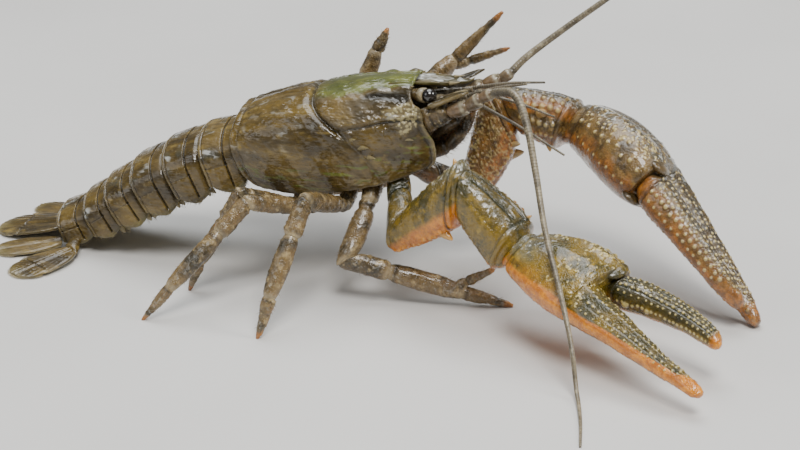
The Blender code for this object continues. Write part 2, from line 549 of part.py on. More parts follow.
def build_leg(tag, number, joints, sizes, finger):
    """One walking leg: hip and thigh as one length, shank and foot as the next."""
    sign = -1.0 if tag == "right" else 1.0
    knee, middle, tip = [np.asarray(p, float) for p in joints]
    root, flank = keel_side(LIMB_STATION[number], sign)
    hip = root + np.array([0.12 * (knee[0] - root[0]), 4.6 * sign, -2.6])
    plane = bend(root, knee, middle)
    w, h = sizes
    away = (0.0, sign, 0.3)
    thigh = limb_rings(root, hip, away, [(0.0, w * 0.75, w * 0.85, 0, 0), (0.15, w * 0.85, w, 0, 0),
                                         (0.75, w, w, 0, 0)], sides=10, start=flank)
    thigh += limb_rings(hip, knee, away, [(0.12, h * 0.78, w * 0.85, 0, 0), (0.2, h * 0.92, w, 0, 0),
                                          (0.55, h * 1.08, w * 1.05, 0, 0), (0.95, h, w, 0, 0),
                                          (1.0, h * 0.82, w * 0.82, 0, 0)], sides=10, end=plane)
    solid(f"leg{number}_thigh_{tag}", thigh, LEG_SHELL)
    shank = limb_rings(knee, middle, away, [
        (0.0, h * 0.8, w * 0.8, 0, 0), (0.06, h, w, 0, 0), (0.3, h * 1.0, w, 0, 0),
        (0.36, h * 0.82, w * 0.84, 0, 0), (0.42, h * 1.0, w, 0, 0), (0.7, h * 1.05, w, 0, 0),
        (0.95, h * 0.85, w * 0.85, 0, 0)], sides=10, start=plane)
    level = (0.0, 0.0, -1.0) if (tag, number) not in RAISED_FEET else None
    foot = limb_rings(middle, tip, away, [
        (0.1, h * 0.72, w * 0.72, 0, 0), (0.55, h * 0.5, w * 0.5, 0, 0), (0.92, h * 0.26, w * 0.28, 0, 0),
        (1.0, h * 0.2, w * 0.2, 0, 0)], sides=10, gaps=(0.0, 0.0), end=level)
    body = solid(f"leg{number}_shank_{tag}", shank + foot, LEG_SHELL, floor=True)
    if finger is not None:
        inside = middle + (middle - tip) * 0.12
        rows = [(0.0, 1.2, 1.1, 0, 0), (0.5, 1.4, 1.3, 0, 0), (0.85, 1.3, 1.2, 0, 0), (1.0, 1.1, 1.0, 0, 0)]
        hinge = limb("hinge", inside, finger[0], away, rows, LEG_SHELL, sides=10, gaps=(0.0, GAP),
                     end=np.subtract(finger[1], finger[0]), fade=0.5)
        unite(body, [hinge])
        rows = [(0.0, 1.0, 0.9, 0, 0), (0.1, 1.15, 1.0, 0, 0), (0.6, 0.8, 0.75, 0, 0), (0.95, 0.4, 0.4, 0, 0),
                (1.0, 0.3, 0.3, 0, 0)]
        limb(f"leg{number}_finger_{tag}", finger[0], finger[1], away, rows, LEG_SHELL, sides=8)


def tail_arch(w, h, drop):
    """Right half of a tail ring from the crest round to the middle of the belly."""
    arch = [(math.sin(t) * w, math.cos(t) ** 0.9 * h) for t in np.linspace(0.0, math.pi / 2.0, 7)[:-1]]
    return arch + [(w, -0.1 * h), (w * 0.98, -h * 0.9 * drop), (w * 0.88, -h * drop), (w * 0.80, -h * 0.45),
                   (w * 0.4, -h * 0.52), (0.0, -h * 0.55)]


def build_tail():
    """The six tail segments, each an arch with a flap down either side and its swimmerets."""
    line = [np.array([x, 0.0, z]) for x, z in TAIL_LINE]
    for i in range(6):
        a, b = line[i], line[i + 1]
        start = bend(line[i - 1], a, b) if i else unit(b - a)
        end = bend(a, b, line[i + 2]) if i < 5 else unit(b - a)
        direction, side, up = frame_for(b - a, (0.0, 0.0, 1.0))
        length = np.linalg.norm(b - a)
        rings = []
        for u, grow in ((0.0, 0.90), (0.12, 0.97), (0.34, 0.985), (0.40, 1.0), (0.7, 1.02), (0.92, 1.035),
                        (1.0, 0.99)):
            drop = 0.62 + 0.38 * math.sin(math.pi * min(u + 0.12, 1.0))
            arch = tail_arch(TAIL_HALF[i], TAIL_HIGH[i], drop)
            ring = []
            for x, y in arch + [(-x, y) for x, y in reversed(arch[1:-1])]:
                o = (side * x + up * y) * grow
                first = (GAP - np.dot(o, start)) / np.dot(direction, start)
                last = length - (GAP + np.dot(o, end)) / np.dot(direction, end)
                ring.append(a + o + direction * (first + u * (last - first)))
            rings.append(ring)
        segment = solid(f"tail_segment_{i + 1}", rings, SHELL)
        if 1 <= i <= 4:
            paddles = []
            for sign in (-1.0, 1.0):
                root = (a + b) / 2.0 + side * sign * TAIL_HALF[i] * 0.52 - up * TAIL_HIGH[i] * 0.3
                tip = root - up * (TAIL_HIGH[i] * 0.25 + 3.6) - direction * 2.2 + side * sign * 0.5
                rows = [(0.0, 0.5, 0.6, 0, 0), (0.4, 0.5, 0.7, 0, 0), (0.7, 0.5, 1.15, 0, 0),
                        (1.0, 0.3, 0.5, 0, 0)]
                paddles.append(limb("paddle", root, tip, direction, rows, UNDER_SHELL, sides=8,
                                    gaps=(0.0, 0.0)))
            unite(segment, paddles)
        if i == 5:
            stalks = []
            for sign in (-1.0, 1.0):
                end = np.array([OUTER_BLADE[0], sign * OUTER_BLADE[1], 1.7])
                away = np.array([-math.cos(OUTER_TURN), sign * math.sin(OUTER_TURN), 0.0])
                rows = [(0.0, 1.3, 0.7, 0, 0), (0.5, 1.5, 0.85, 0, 0), (1.0, 1.7, 0.6, 0, 0)]
                base = end + np.array([-0.4, -sign * 5.2, 1.3])
                stalks.append(limb("stalk", base, end, (0.0, 0.0, 1.0), rows, SHELL, sides=10,
                                   gaps=(0.0, 2.0 * GAP), end=away, fade=0.5))
            unite(segment, stalks)


def build_blade(name, root, turn, length, width, lift, notch):
    """One blade of the tail fan: a thin leaf with a raised middle rib, flat below at its far end."""
    back = np.array([-math.cos(turn), math.sin(turn), 0.0])
    side = np.array([math.sin(turn), math.cos(turn), 0.0])
    rings = []
    for u, w in ((0.0, 0.42), (0.08, 0.60), (0.25, 0.82), (0.45, 0.96),
                 (0.62, 1.0), (0.66, 0.94), (0.82, 0.88),
                 (0.93, 0.66), (1.0, 0.36)):
        if u < 0.65 or not notch:
            w = min(w * 1.02, 1.0)
        low = lift * (1.0 - u)
        top = low + 1.5 - 0.7 * u
        ring = []
        for x, z in ((-1.0, 0.45), (-0.75, 0.85), (-0.25, 0.95), (0.0, 1.35),
                     (0.25, 0.95), (0.75, 0.85), (1.0, 0.45),
                     (0.75, 0.0), (0.0, 0.0), (-0.75, 0.0)):
            p = np.array(root) + back * length * u + side * x * width * w
            ring.append(np.array([p[0], p[1], low + (top - low) * z]))
        rings.append(ring)
    return solid(name, rings, SHELL, floor=True)


def build_fan():
    """The tail fan on the floor: middle blade and two pairs of side blades."""
    build_blade("telson", (-98.95, 0.0, 0.0), 0.0, 17.95, 6.6, 2.6, True)
    for tag, sign in (("right", -1.0), ("left", 1.0)):
        build_blade(f"inner_blade_{tag}", (-98.25, sign * 8.2, 0.0), sign * 0.40, 15.5, 4.4, 1.0, False)
        build_blade(f"outer_blade_{tag}", (OUTER_BLADE[0], sign * OUTER_BLADE[1], 0.0), sign * OUTER_TURN, 16.0,
                    5.0, 1.0, True)


build_shield()
build_keel()
build_face()
for side_name, side_sign in (("right", -1.0), ("left", 1.0)):
    build_eye(side_name, side_sign)
    build_head_limbs(side_name, side_sign)
build_feeler("right", RIGHT_FEELER, FEELER_HALF)
build_feeler("left", LEFT_FEELER, FEELER_HALF)
build_great_limb("right", RIGHT_CLAW, RIGHT_CLAW_UP, RIGHT_FINGER, 1.0)
build_great_limb("left", LEFT_CLAW, LEFT_CLAW_UP, LEFT_FINGER, 5.0)
for (side_name, leg_number), (leg_joints, leg_sizes, leg_finger) in LEGS.items():
    build_leg(side_name, leg_number, leg_joints, leg_sizes, leg_finger)
build_tail()
build_fan()
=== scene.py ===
"""Looks of a river crayfish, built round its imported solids.

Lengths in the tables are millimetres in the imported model's own frame: the animal
faces +X, its right side is towards -Y and it stands on z = 0. Every piece is a
closed surface worked out on a grid of two parameters. Small forms, such as
tubercles, thorns and hairs, are set on those surfaces, and the surfaces carry
masks that the finishes read.
"""
import logging
import math
from dataclasses import dataclass, field
from enum import Enum
from typing import Dict, List, Optional, Sequence, Tuple

import bpy
import numpy as np
from mathutils import Matrix, Vector


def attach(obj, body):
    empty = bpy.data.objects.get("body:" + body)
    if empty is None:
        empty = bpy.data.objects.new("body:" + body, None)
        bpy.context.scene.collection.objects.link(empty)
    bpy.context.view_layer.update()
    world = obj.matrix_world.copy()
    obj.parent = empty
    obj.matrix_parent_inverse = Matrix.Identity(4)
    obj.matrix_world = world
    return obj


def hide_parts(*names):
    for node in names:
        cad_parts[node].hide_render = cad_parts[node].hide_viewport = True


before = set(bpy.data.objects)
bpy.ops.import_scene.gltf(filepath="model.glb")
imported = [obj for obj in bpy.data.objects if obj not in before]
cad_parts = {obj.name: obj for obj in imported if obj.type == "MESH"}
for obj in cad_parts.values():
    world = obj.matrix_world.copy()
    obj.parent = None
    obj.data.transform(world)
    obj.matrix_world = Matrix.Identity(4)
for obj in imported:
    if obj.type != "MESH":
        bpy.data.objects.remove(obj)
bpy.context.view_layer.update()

Array = np.ndarray
Triple = Tuple[float, float, float]
Colour = Triple
Row = Sequence[float]
Table = Sequence[Row]
Masks = Dict[str, Array]
Material = bpy.types.Material
Socket = bpy.types.NodeSocket

LOG = logging.getLogger("crayfish")
MM = 0.001
TAU = 2.0 * math.pi
BODY_PITCH = math.radians(14.0)
BEAK_TIP = np.array((0.0, 0.0, 48.5))
TIP_BELOW_TOP = 5.0
CENTRE_SHIFT = np.array((21.88, 16.12, 0.0))
FORWARD = np.array((math.cos(BODY_PITCH), 0.0, math.sin(BODY_PITCH)))
SIDEWAYS = np.array((0.0, 1.0, 0.0))
UPWARD = np.array((-math.sin(BODY_PITCH), 0.0, math.cos(BODY_PITCH)))
# The last mask marks glossy patches that also get painted highlight specks.
MASKS = ("knob", "warm", "pale", "dark", "wet")
VERTICAL = np.array((0.0, 0.0, 1.0))
BOTH_SIDES = (-1.0, 1.0)
# Half of the gap that touching pieces keep, in millimetres.
HALF_GAP = 0.15


class Side(Enum):
    """The two sides of the body; the value is the sign of the side along +Y."""

    RIGHT = -1.0
    LEFT = 1.0

    @property
    def tag(self) -> str:
        """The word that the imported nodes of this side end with."""
        return self.name.lower()


class Slot(Enum):
    """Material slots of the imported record."""

    OLIVE = "olive_shell"
    CLAW = "claw_shell"
    LEG = "leg_shell"
    UNDER = "under_shell"
    EYE = "eye"
    FEELER = "feeler"


def unit(v: Row) -> Array:
    """Vectors at length one, along the last axis."""
    v = np.asarray(v, float)
    return v / np.maximum(np.linalg.norm(v, axis=-1, keepdims=True), 1e-9)


def frame_for(direction: Row, up: Row) -> Tuple[Array, Array, Array]:
    """Three square unit vectors: the direction, the side (up crossed with it), and up squared to it.

    Args:
        direction: Way along.
        up: Rough way up.

    Returns:
        The three vectors, in that order.
    """
    direction = unit(direction)
    up = np.asarray(up, float)
    up = unit(up - direction * np.dot(up, direction))
    return direction, np.cross(up, direction), up


def bend(a: Row, b: Row, c: Row) -> Array:
    """Normal of the plane that halves the bend at b on the way from a to c."""
    return unit(unit(np.subtract(b, a)) + unit(np.subtract(c, b)))


def flow(at: Array, knots: Row, values: Row) -> Array:
    """Reads a table by cubic Hermite steps that never overshoot.

    Each inner slope is the harmonic mean of those beside it, or nought where
    they differ in sign.

    Args:
        at: Where the table is read, in any shape.
        knots: Rising places of the table.
        values: Its values there.

    Returns:
        The values at those places, in the shape of at.
    """
    k, v = np.asarray(knots, float), np.asarray(values, float)
    h = np.diff(k)
    d = np.diff(v) / h
    m = np.zeros_like(v)
    m[0], m[-1] = d[0], d[-1]
    same = d[:-1] * d[1:] > 0.0
    m[1:-1] = np.where(same, 2.0 * d[:-1] * d[1:] / np.where(same, d[:-1] + d[1:], 1.0), 0.0)
    at = np.clip(np.asarray(at, float), k[0], k[-1])
    i = np.clip(np.searchsorted(k, at, side="right") - 1, 0, len(k) - 2)
    t = (at - k[i]) / h[i]
    return ((1.0 + 2.0 * t) * (1.0 - t) ** 2 * v[i] + t * (1.0 - t) ** 2 * h[i] * m[i]
        + t * t * (3.0 - 2.0 * t) * v[i + 1] + t * t * (t - 1.0) * h[i] * m[i + 1])


def step(low: float, high: float, x: Array) -> Array:
    """Smooth step: nought below low, one above high, and 3t^2 - 2t^3 between."""
    t = np.clip((np.asarray(x, float) - low) / (high - low), 0.0, 1.0)
    return t * t * (3.0 - 2.0 * t)


def hump(x: Array, centre: float, width: float) -> Array:
    """Bell curve exp(-((x - centre) / width)^2)."""
    return np.exp(-((x - centre) / width) ** 2)


def window(x: Array, low: float, high: float, soft: float) -> Array:
    """One between low and high, falling smoothly to nought over soft on either side."""
    return step(low - soft, low, x) * (1.0 - step(high, high + soft, x))


def on_body(back: Array, side: Array, height: Array) -> Array:
    """World points of places given back from the beak tip, to the side and above the crest level."""
    back, side, height = np.broadcast_arrays(*(np.asarray(q, float)[..., None] for q in (back, side, height)))
    return BEAK_TIP + CENTRE_SHIFT - FORWARD * back + UPWARD * (height + TIP_BELOW_TOP) + SIDEWAYS * side


def spot(back: float, side: float, height: float) -> Array:
    """A place on the body before the centring shift."""
    return on_body(back, side, height) - CENTRE_SHIFT


def placed(point: Row) -> Array:
    """A table point moved by the shift that centres the model."""
    return np.asarray(point, float) + CENTRE_SHIFT


def ripple(points: Array, size: float, seed: int) -> Array:
    """Smooth unevenness between -1 and 1: the mean of six sine waves that cross the points.

    Args:
        points: Places, with the last axis x, y, z.
        size: Rough length of a wave in millimetres.
        seed: Picks the directions and phases.

    Returns:
        One value for each place.
    """
    rng = np.random.default_rng(seed)
    waves = unit(rng.normal(size=(6, 3))) * TAU / size * rng.uniform(0.6, 1.5, (6, 1))
    return np.sin(points @ waves.T + rng.uniform(0.0, TAU, 6)).mean(axis=-1) * 1.6


def grid_normals(grid: Array) -> Array:
    """Unit normals of a grid whose columns run round, away from the middle of each row.

    Each is the cross product of the differences along and round the grid.

    Args:
        grid: The grid of points, rows by columns.

    Returns:
        One unit normal for each point.
    """
    around = np.roll(grid, -1, axis=1) - np.roll(grid, 1, axis=1)
    normal = unit(np.cross(np.gradient(grid, axis=0), around))
    outward = (normal * (grid - grid.mean(axis=1, keepdims=True))).sum(axis=-1).mean()
    return normal if outward > 0.0 else -normal


def raised(grid: Array, lift: Array) -> Array:
    """A grid moved out along its normals by the lift."""
    return grid + grid_normals(grid) * lift[..., None]


def turns(count: int) -> Array:
    """Even steps round a circle, as the columns of a grid."""
    return np.linspace(0.0, TAU, count, endpoint=False)[None, :]


def mirrored(half: Array, sign: float = 1.0) -> Array:
    """Values down one side of a section and back up the other, where they take the sign, as columns."""
    return np.concatenate([half, sign * half[-2:0:-1]])[None, :]


def squared(x: Array, power: float) -> Array:
    """A cosine or sine to a power, with its own sign."""
    return np.sign(x) * np.abs(x) ** power


def above(level: float, points: Array) -> Array:
    """The same points, with those lower than the level lifted to it."""
    points[..., 2] = np.maximum(points[..., 2], level)
    return points


def joined(*groups: Sequence[Array]) -> List[Array]:
    """Centres, radii and heights of several groups of tubercles as one group."""
    return [np.concatenate(part) for part in zip(*groups)]


def bumps(grid: Array, seeds: Array, radius: Array, height: Array) -> Tuple[Array, Array]:
    """Lift and mask of round tubercles on a grid.

    Each tubercle lifts by height * (1 - (d / radius)^2)^1.5 where the distance d
    from its seed is below its radius, and the highest one counts.

    Args:
        grid: Points in rows and columns.
        seeds: Tubercle centres, one in a row.
        radius: Their radii.
        height: Their heights.

    Returns:
        The lift in millimetres and a mask that is one at each middle.
    """
    lift, mask = np.zeros(grid.shape[:2]), np.zeros(grid.shape[:2])
    for seed, r, h in zip(seeds, np.broadcast_to(radius, len(seeds)), np.broadcast_to(height, len(seeds))):
        near = np.maximum(1.0 - ((grid - seed) ** 2).sum(axis=-1) / (r * r), 0.0)
        lift = np.maximum(lift, h * near ** 1.5)
        mask = np.maximum(mask, near)
    return lift, mask


@dataclass(frozen=True)
class Limb:
    """One length of a limb between two joints.

    Each row of the profile is (share of length, half width, half height, side
    offset, up offset), with offsets left out where they are nought, and the
    section is a superellipse of the given power.
    """

    a: Row
    b: Row
    up: Row
    profile: Table
    start: Optional[Row] = None
    end: Optional[Row] = None
    power: float = 2.0
    flip: float = 1.0
    thin: float = 0.0
    fade: float = 1.0
    gaps: Tuple[float, float] = (HALF_GAP, HALF_GAP)

    def axes(self) -> Tuple[Array, Array, Array]:
        """Direction, side and up of the length."""
        return frame_for(np.subtract(self.b, self.a), self.up)

    def points(self, u: Array, v: Array) -> Array:
        """Surface points.

        The section is |cos v|^(2/power) wide and |sin v|^(2/power) high, with the
        outer edge thinned; the slant of the end planes dies out over the fade.

        Args:
            u: Shares of the length.
            v: Angles round it, from the inner side over the top.

        Returns:
            Points in world millimetres.
        """
        u, v = np.broadcast_arrays(np.asarray(u, float), np.asarray(v, float))
        direction, side, up = self.axes()
        start = direction if self.start is None else unit(self.start)
        end = direction if self.end is None else unit(self.end)
        length = np.linalg.norm(np.subtract(self.b, self.a))
        rows = np.array([(*row, 0.0, 0.0)[:5] for row in self.profile], float)
        half_w, half_h, off_w, off_h = (flow(u, rows[:, 0], rows[:, i]) for i in (1, 2, 3, 4))
        c, s = np.cos(v), np.sin(v)
        x = squared(c, 2.0 / self.power)
        y = squared(s, 2.0 / self.power) * (1.0 - self.thin * np.maximum(0.0, -x))
        o = (self.flip * (x * half_w + off_w))[..., None] * side + (y * half_h + off_h)[..., None] * up
        first = (self.gaps[0] - o @ start) / np.dot(direction, start)
        last = (self.gaps[1] + o @ end) / np.dot(direction, end)
        near = np.maximum(0.0, 1.0 - u / self.fade)
        far = np.maximum(0.0, 1.0 - (1.0 - u) / self.fade)
        along = u * length + first * near - last * far
        return placed(self.a) + o + along[..., None] * direction

    def grid(self, rows: int, columns: int, dense: Row = ()) -> Tuple[Array, Array, Array]:
        """A grid over the whole length.

        Args:
            rows: Steps along, closer near the ends.
            columns: Steps round.
            dense: Shares of the length round which the steps are closer, if any.

        Returns:
            The points, and the share and angle of each as columns and rows.
        """
        t = np.linspace(0.0, 1.0, rows)
        u = 0.6 * t + 0.4 * (0.5 - 0.5 * np.cos(math.pi * t))
        for middle in dense:
            u = np.union1d(u, np.linspace(middle - 0.02, middle + 0.02, 16))
        u, v = u[:, None], turns(columns)
        return self.points(u, v), u, v

    def seat(self, u: Array, v: Array) -> Tuple[Array, Array]:
        """Surface points and outward normals at the given shares and angles.

        Args:
            u: Shares of the length.
            v: Angles round it.

        Returns:
            The points and their unit normals.
        """
        u, v = np.broadcast_arrays(np.asarray(u, float), np.asarray(v, float))
        e = 0.01
        point = self.points(u, v)
        along = self.points(np.minimum(u + e, 1.0), v) - self.points(np.maximum(u - e, 0.0), v)
        around = self.points(u, v + e) - self.points(u, v - e)
        normal = unit(np.cross(along, around))
        middle = (self.points(u, v) + self.points(u, v + math.pi)) / 2.0
        return point, normal * np.sign((normal * (point - middle)).sum(axis=-1, keepdims=True))


def ring_faces(rows: int, columns: int) -> Tuple[Array, Array]:
    """Quads between closed rings, and triangles to a pole before and one after them, numbered last.

    Args:
        rows: Number of rings.
        columns: Points in each ring.

    Returns:
        Corner numbers of the quads, and of the triangles.
    """
    i, j = np.arange(rows - 1)[:, None] * columns, np.arange(columns)[None, :]
    k = (j + 1) % columns
    quads = np.stack([i + j, i + k, i + columns + k, i + columns + j], axis=-1).reshape(-1, 4)
    j, k, block = j[0], k[0], rows * columns
    last = block - columns
    return quads, np.concatenate([np.stack([j, np.full_like(j, block), k], axis=-1),
        np.stack([last + j, last + k, np.full_like(j, block + 1)], axis=-1)])


@dataclass
class Skin:
    """Closed surfaces that make up one visible piece."""

    name: str
    node: str = ""
    points: List[Array] = field(default_factory=list)
    quads: List[Array] = field(default_factory=list)
    tris: List[Array] = field(default_factory=list)
    masks: Dict[str, List[Array]] = field(default_factory=lambda: {m: [] for m in MASKS})
    count: int = 0

    @classmethod
    def over(cls, node: str, tag: object) -> "Skin":
        """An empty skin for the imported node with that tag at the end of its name."""
        return cls(f"{node}_skin_{tag}", f"{node}_{tag}")

    def add(self, points: Array, quads: Array, tris: Array, masks: Masks) -> None:
        """Takes one closed surface, turned round if the volume summed over its faces is negative.

        Args:
            points: Points, one in a row.
            quads: Corner numbers of the four-sided faces.
            tris: Corner numbers of the three-sided faces.
            masks: A value for each point, or one for all, by the mask's name.
        """
        local = points - points.mean(axis=0)
        halves = np.concatenate([tris, quads[:, [0, 1, 2]], quads[:, [0, 2, 3]]])
        p, q, r = (local[halves[:, i]] for i in range(3))
        if (p * np.cross(q, r)).sum() < 0.0:
            quads, tris = quads[:, ::-1], tris[:, ::-1]
        self.points.append(points)
        self.quads.append(quads + self.count)
        self.tris.append(tris + self.count)
        for name in MASKS:
            self.masks[name].append(np.broadcast_to(np.ravel(masks.get(name, 0.0)), len(points)))
        self.count += len(points)

    def tube(self, grid: Array, masks: Optional[Masks] = None, domes: Tuple[float, float] = (0.0, 0.0),
            steps: int = 5) -> None:
        """Adds a grid whose columns run round, with a dome on either end.

        Dome rings are the end ring times cos(a), moved out by height * sin(a).

        Args:
            grid: Points in rows along and columns round.
            masks: Mask values in the shape of the grid, or one value.
            domes: Heights of the domes; a negative one is a hollow.
            steps: Rings in each dome.
        """
        rows, columns = grid.shape[:2]
        angle = np.linspace(0.0, math.pi / 2.0, steps + 1)[1:, None, None]
        ends = []
        for edge, inner, height in ((0, 1, domes[0]), (-1, -2, domes[1])):
            middle = grid[edge].mean(axis=0)
            away = unit(middle - grid[inner].mean(axis=0))
            ends.append(middle + (grid[edge] - middle)[None] * np.cos(angle) + away * height * np.sin(angle))
        rings = np.concatenate([ends[0][:-1][::-1], grid, ends[1][:-1]])
        points = np.concatenate([rings.reshape(-1, 3), ends[0][-1][:1], ends[1][-1][:1]])
        quads, tris = ring_faces(len(rings), columns)
        whole = {}
        for name, value in (masks or {}).items():
            value = np.broadcast_to(np.asarray(value, float), (rows, columns))
            value = np.concatenate([np.repeat(value[:1], steps - 1, axis=0), value,
                np.repeat(value[-1:], steps - 1, axis=0)])
            whole[name] = np.concatenate([value.ravel(), [value[0].mean(), value[-1].mean()]])
        self.add(points, quads, tris, whole)

    def ball(self, centre: Array, axes: Sequence[Array], masks: Optional[Masks] = None) -> None:
        """Adds an ellipsoid: centre + a cos p cos q + b cos p sin q + c sin p.

        Args:
            centre: Its middle.
            axes: Its three half axes as vectors.
            masks: Mask values, one each.
        """
        p = np.linspace(-1.35, 1.35, 14)[:, None, None]
        q = np.linspace(0.0, TAU, 24, endpoint=False)[None, :, None]
        a, b, c = (np.asarray(x, float) for x in axes)
        grid = centre + a * np.cos(p) * np.cos(q) + b * np.cos(p) * np.sin(q) + c * np.sin(p)
        self.tube(grid, masks, domes=(0.025 * float(np.linalg.norm(c)),) * 2, steps=2)

    def cones(self, bases: Array, tips: Array, halves: Array, columns: int = 10, rows: int = 7,
            blunt: float = 0.75, masks: Optional[Dict[str, float]] = None) -> None:
        """Adds many thorns or hairs at once, of radius half * (1 - t)^blunt at share t from base to tip.

        Args:
            bases: Points that the cones start from.
            tips: Their ends.
            halves: Their radii at the base.
            columns: Sides of each.
            rows: Rings of each.
            blunt: Shape of the taper.
            masks: Mask values, one each.
        """
        bases, tips = np.atleast_2d(bases).astype(float), np.atleast_2d(tips).astype(float)
        count = len(bases)
        halves = np.broadcast_to(halves, count).astype(float)[:, None, None, None]
        axis = tips - bases
        direction = unit(axis)
        hint = np.where(np.abs(direction[:, 2:3]) < 0.8, VERTICAL, np.array((1.0, 0.0, 0.0)))
        side = unit(np.cross(direction, hint))
        other = np.cross(direction, side)
        t = np.linspace(0.0, 0.96, rows)[None, :, None, None]
        q = np.linspace(0.0, TAU, columns, endpoint=False)[None, None, :, None]
        radius = halves * (1.0 - t) ** blunt
        line = bases[:, None, None] + axis[:, None, None] * t
        grid = line + radius * (np.cos(q) * side[:, None, None] + np.sin(q) * other[:, None, None])
        block = rows * columns
        points = np.concatenate([grid.reshape(count, block, 3), np.stack([bases, tips], axis=1)], axis=1)
        quads, tris = ring_faces(rows, columns)
        offset = (np.arange(count) * (block + 2))[:, None, None]
        self.add(points.reshape(-1, 3), (quads + offset).reshape(-1, 4), (tris + offset).reshape(-1, 3),
            masks or {})

    def hairs(self, bases: Array, tips: Array, half: float, **masks: float) -> None:
        """Adds thin cones of a few faces each."""
        self.cones(bases, tips, half, 4, 3, masks=masks)

    def build(self, finish: Material, slot: Slot, *nodes: str) -> bpy.types.Object:
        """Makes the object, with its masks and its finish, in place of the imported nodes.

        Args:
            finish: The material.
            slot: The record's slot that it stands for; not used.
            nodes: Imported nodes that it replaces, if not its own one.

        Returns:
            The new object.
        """
        points = np.concatenate(self.points) * MM
        quads, tris = np.concatenate(self.quads), np.concatenate(self.tris)
        mesh = bpy.data.meshes.new(self.name)
        mesh.vertices.add(len(points))
        mesh.vertices.foreach_set("co", points.astype(np.float32).ravel())
        mesh.loops.add(quads.size + tris.size)
        mesh.loops.foreach_set("vertex_index", np.concatenate([quads.ravel(), tris.ravel()]).astype(np.int32))
        starts = np.concatenate([np.arange(len(quads)) * 4, quads.size + np.arange(len(tris)) * 3])
        mesh.polygons.add(len(starts))
        mesh.polygons.foreach_set("loop_start", starts.astype(np.int32))
        mesh.update(calc_edges=True)
        mesh.validate()
        mesh.shade_smooth()
        for name, parts in self.masks.items():
            layer = mesh.attributes.new(name, "FLOAT", "POINT")
            layer.data.foreach_set("value", np.clip(np.concatenate(parts), 0.0, 1.0).astype(np.float32))
        mesh.materials.append(finish)
        obj = bpy.data.objects.new(self.name, mesh)
        bpy.context.scene.collection.objects.link(obj)
        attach(obj, "root")
        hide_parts(*(nodes or (self.node,)))
        LOG.info("%s: %d faces", self.name, len(starts))
        return obj


class Graph:
    """A short way to lay out the nodes of a material or group."""

    def __init__(self, tree: bpy.types.NodeTree) -> None:
        """Starts from an empty tree."""
        self.tree = tree
        tree.nodes.clear()

    def node(self, kind: str, inputs: Optional[Dict[object, object]] = None,
            **settings: object) -> bpy.types.Node:
        """Adds one node.

        Args:
            kind: Its type name.
            inputs: Sockets to link, or values and plain colours to set, by name or number.
            settings: Properties of the node.

        Returns:
            The node.
        """
        made = self.tree.nodes.new(kind)
        for name, value in settings.items():
            setattr(made, name, value)
        for name, value in (inputs or {}).items():
            if isinstance(value, Socket):
                self.tree.links.new(value, made.inputs[name])
            elif made.inputs[name].type == "RGBA":
                made.inputs[name].default_value = (*value, 1.0)
            else:
                made.inputs[name].default_value = value
        return made

    @classmethod
    def material(cls, name: str) -> Tuple[Material, "Graph", Socket]:
        """A new material, its empty tree and the object's own coordinates.

        Args:
            name: Name of the material.

        Returns:
            The material, its tree and the coordinates.
        """
        made = bpy.data.materials.new(name)
        made.use_nodes = True
        graph = cls(made.node_tree)
        return made, graph, graph.node("ShaderNodeTexCoord").outputs["Object"]

    def shade(self, inputs: Dict[object, object]) -> None:
        """Ends a material in its shader with the given inputs."""
        self.node("ShaderNodeOutputMaterial", {0: self.node("ShaderNodeBsdfPrincipled", inputs).outputs[0]})

    def noise(self, place: Socket, scale: object, detail: float = 3.0) -> Socket:
        """Noise from 0 to 1 at a scale in waves to the metre."""
        return self.node("ShaderNodeTexNoise", {"Vector": place, "Scale": scale, "Detail": detail,
            "Roughness": 0.6}).outputs[0]

    def ramp(self, value: Socket, low: float, high: float, out_low: float = 0.0,
            out_high: float = 1.0) -> Socket:
        """Smooth map of a value from one range to another."""
        return self.node("ShaderNodeMapRange", {0: value, 1: low, 2: high, 3: out_low, 4: out_high},
            interpolation_type="SMOOTHSTEP").outputs[0]

    def times(self, a: object, b: object) -> Socket:
        """One number times another."""
        return self.node("ShaderNodeMath", {0: a, 1: b}, operation="MULTIPLY").outputs[0]

    def mix(self, share: object, a: object, b: object) -> Socket:
        """A blend of two colours."""
        return self.node("ShaderNodeMix", {0: share, 6: a, 7: b}, data_type="RGBA").outputs[2]

    def bump(self, height: Socket, strength: float, distance: float) -> Socket:
        """Normals bent by a height."""
        inputs = {"Height": height, "Strength": strength, "Distance": distance}
        return self.node("ShaderNodeBump", inputs).outputs[0]

    def mask(self, name: str) -> Socket:
        """One of the masks that the surfaces carry."""
        return self.node("ShaderNodeAttribute", attribute_name=name).outputs["Fac"]


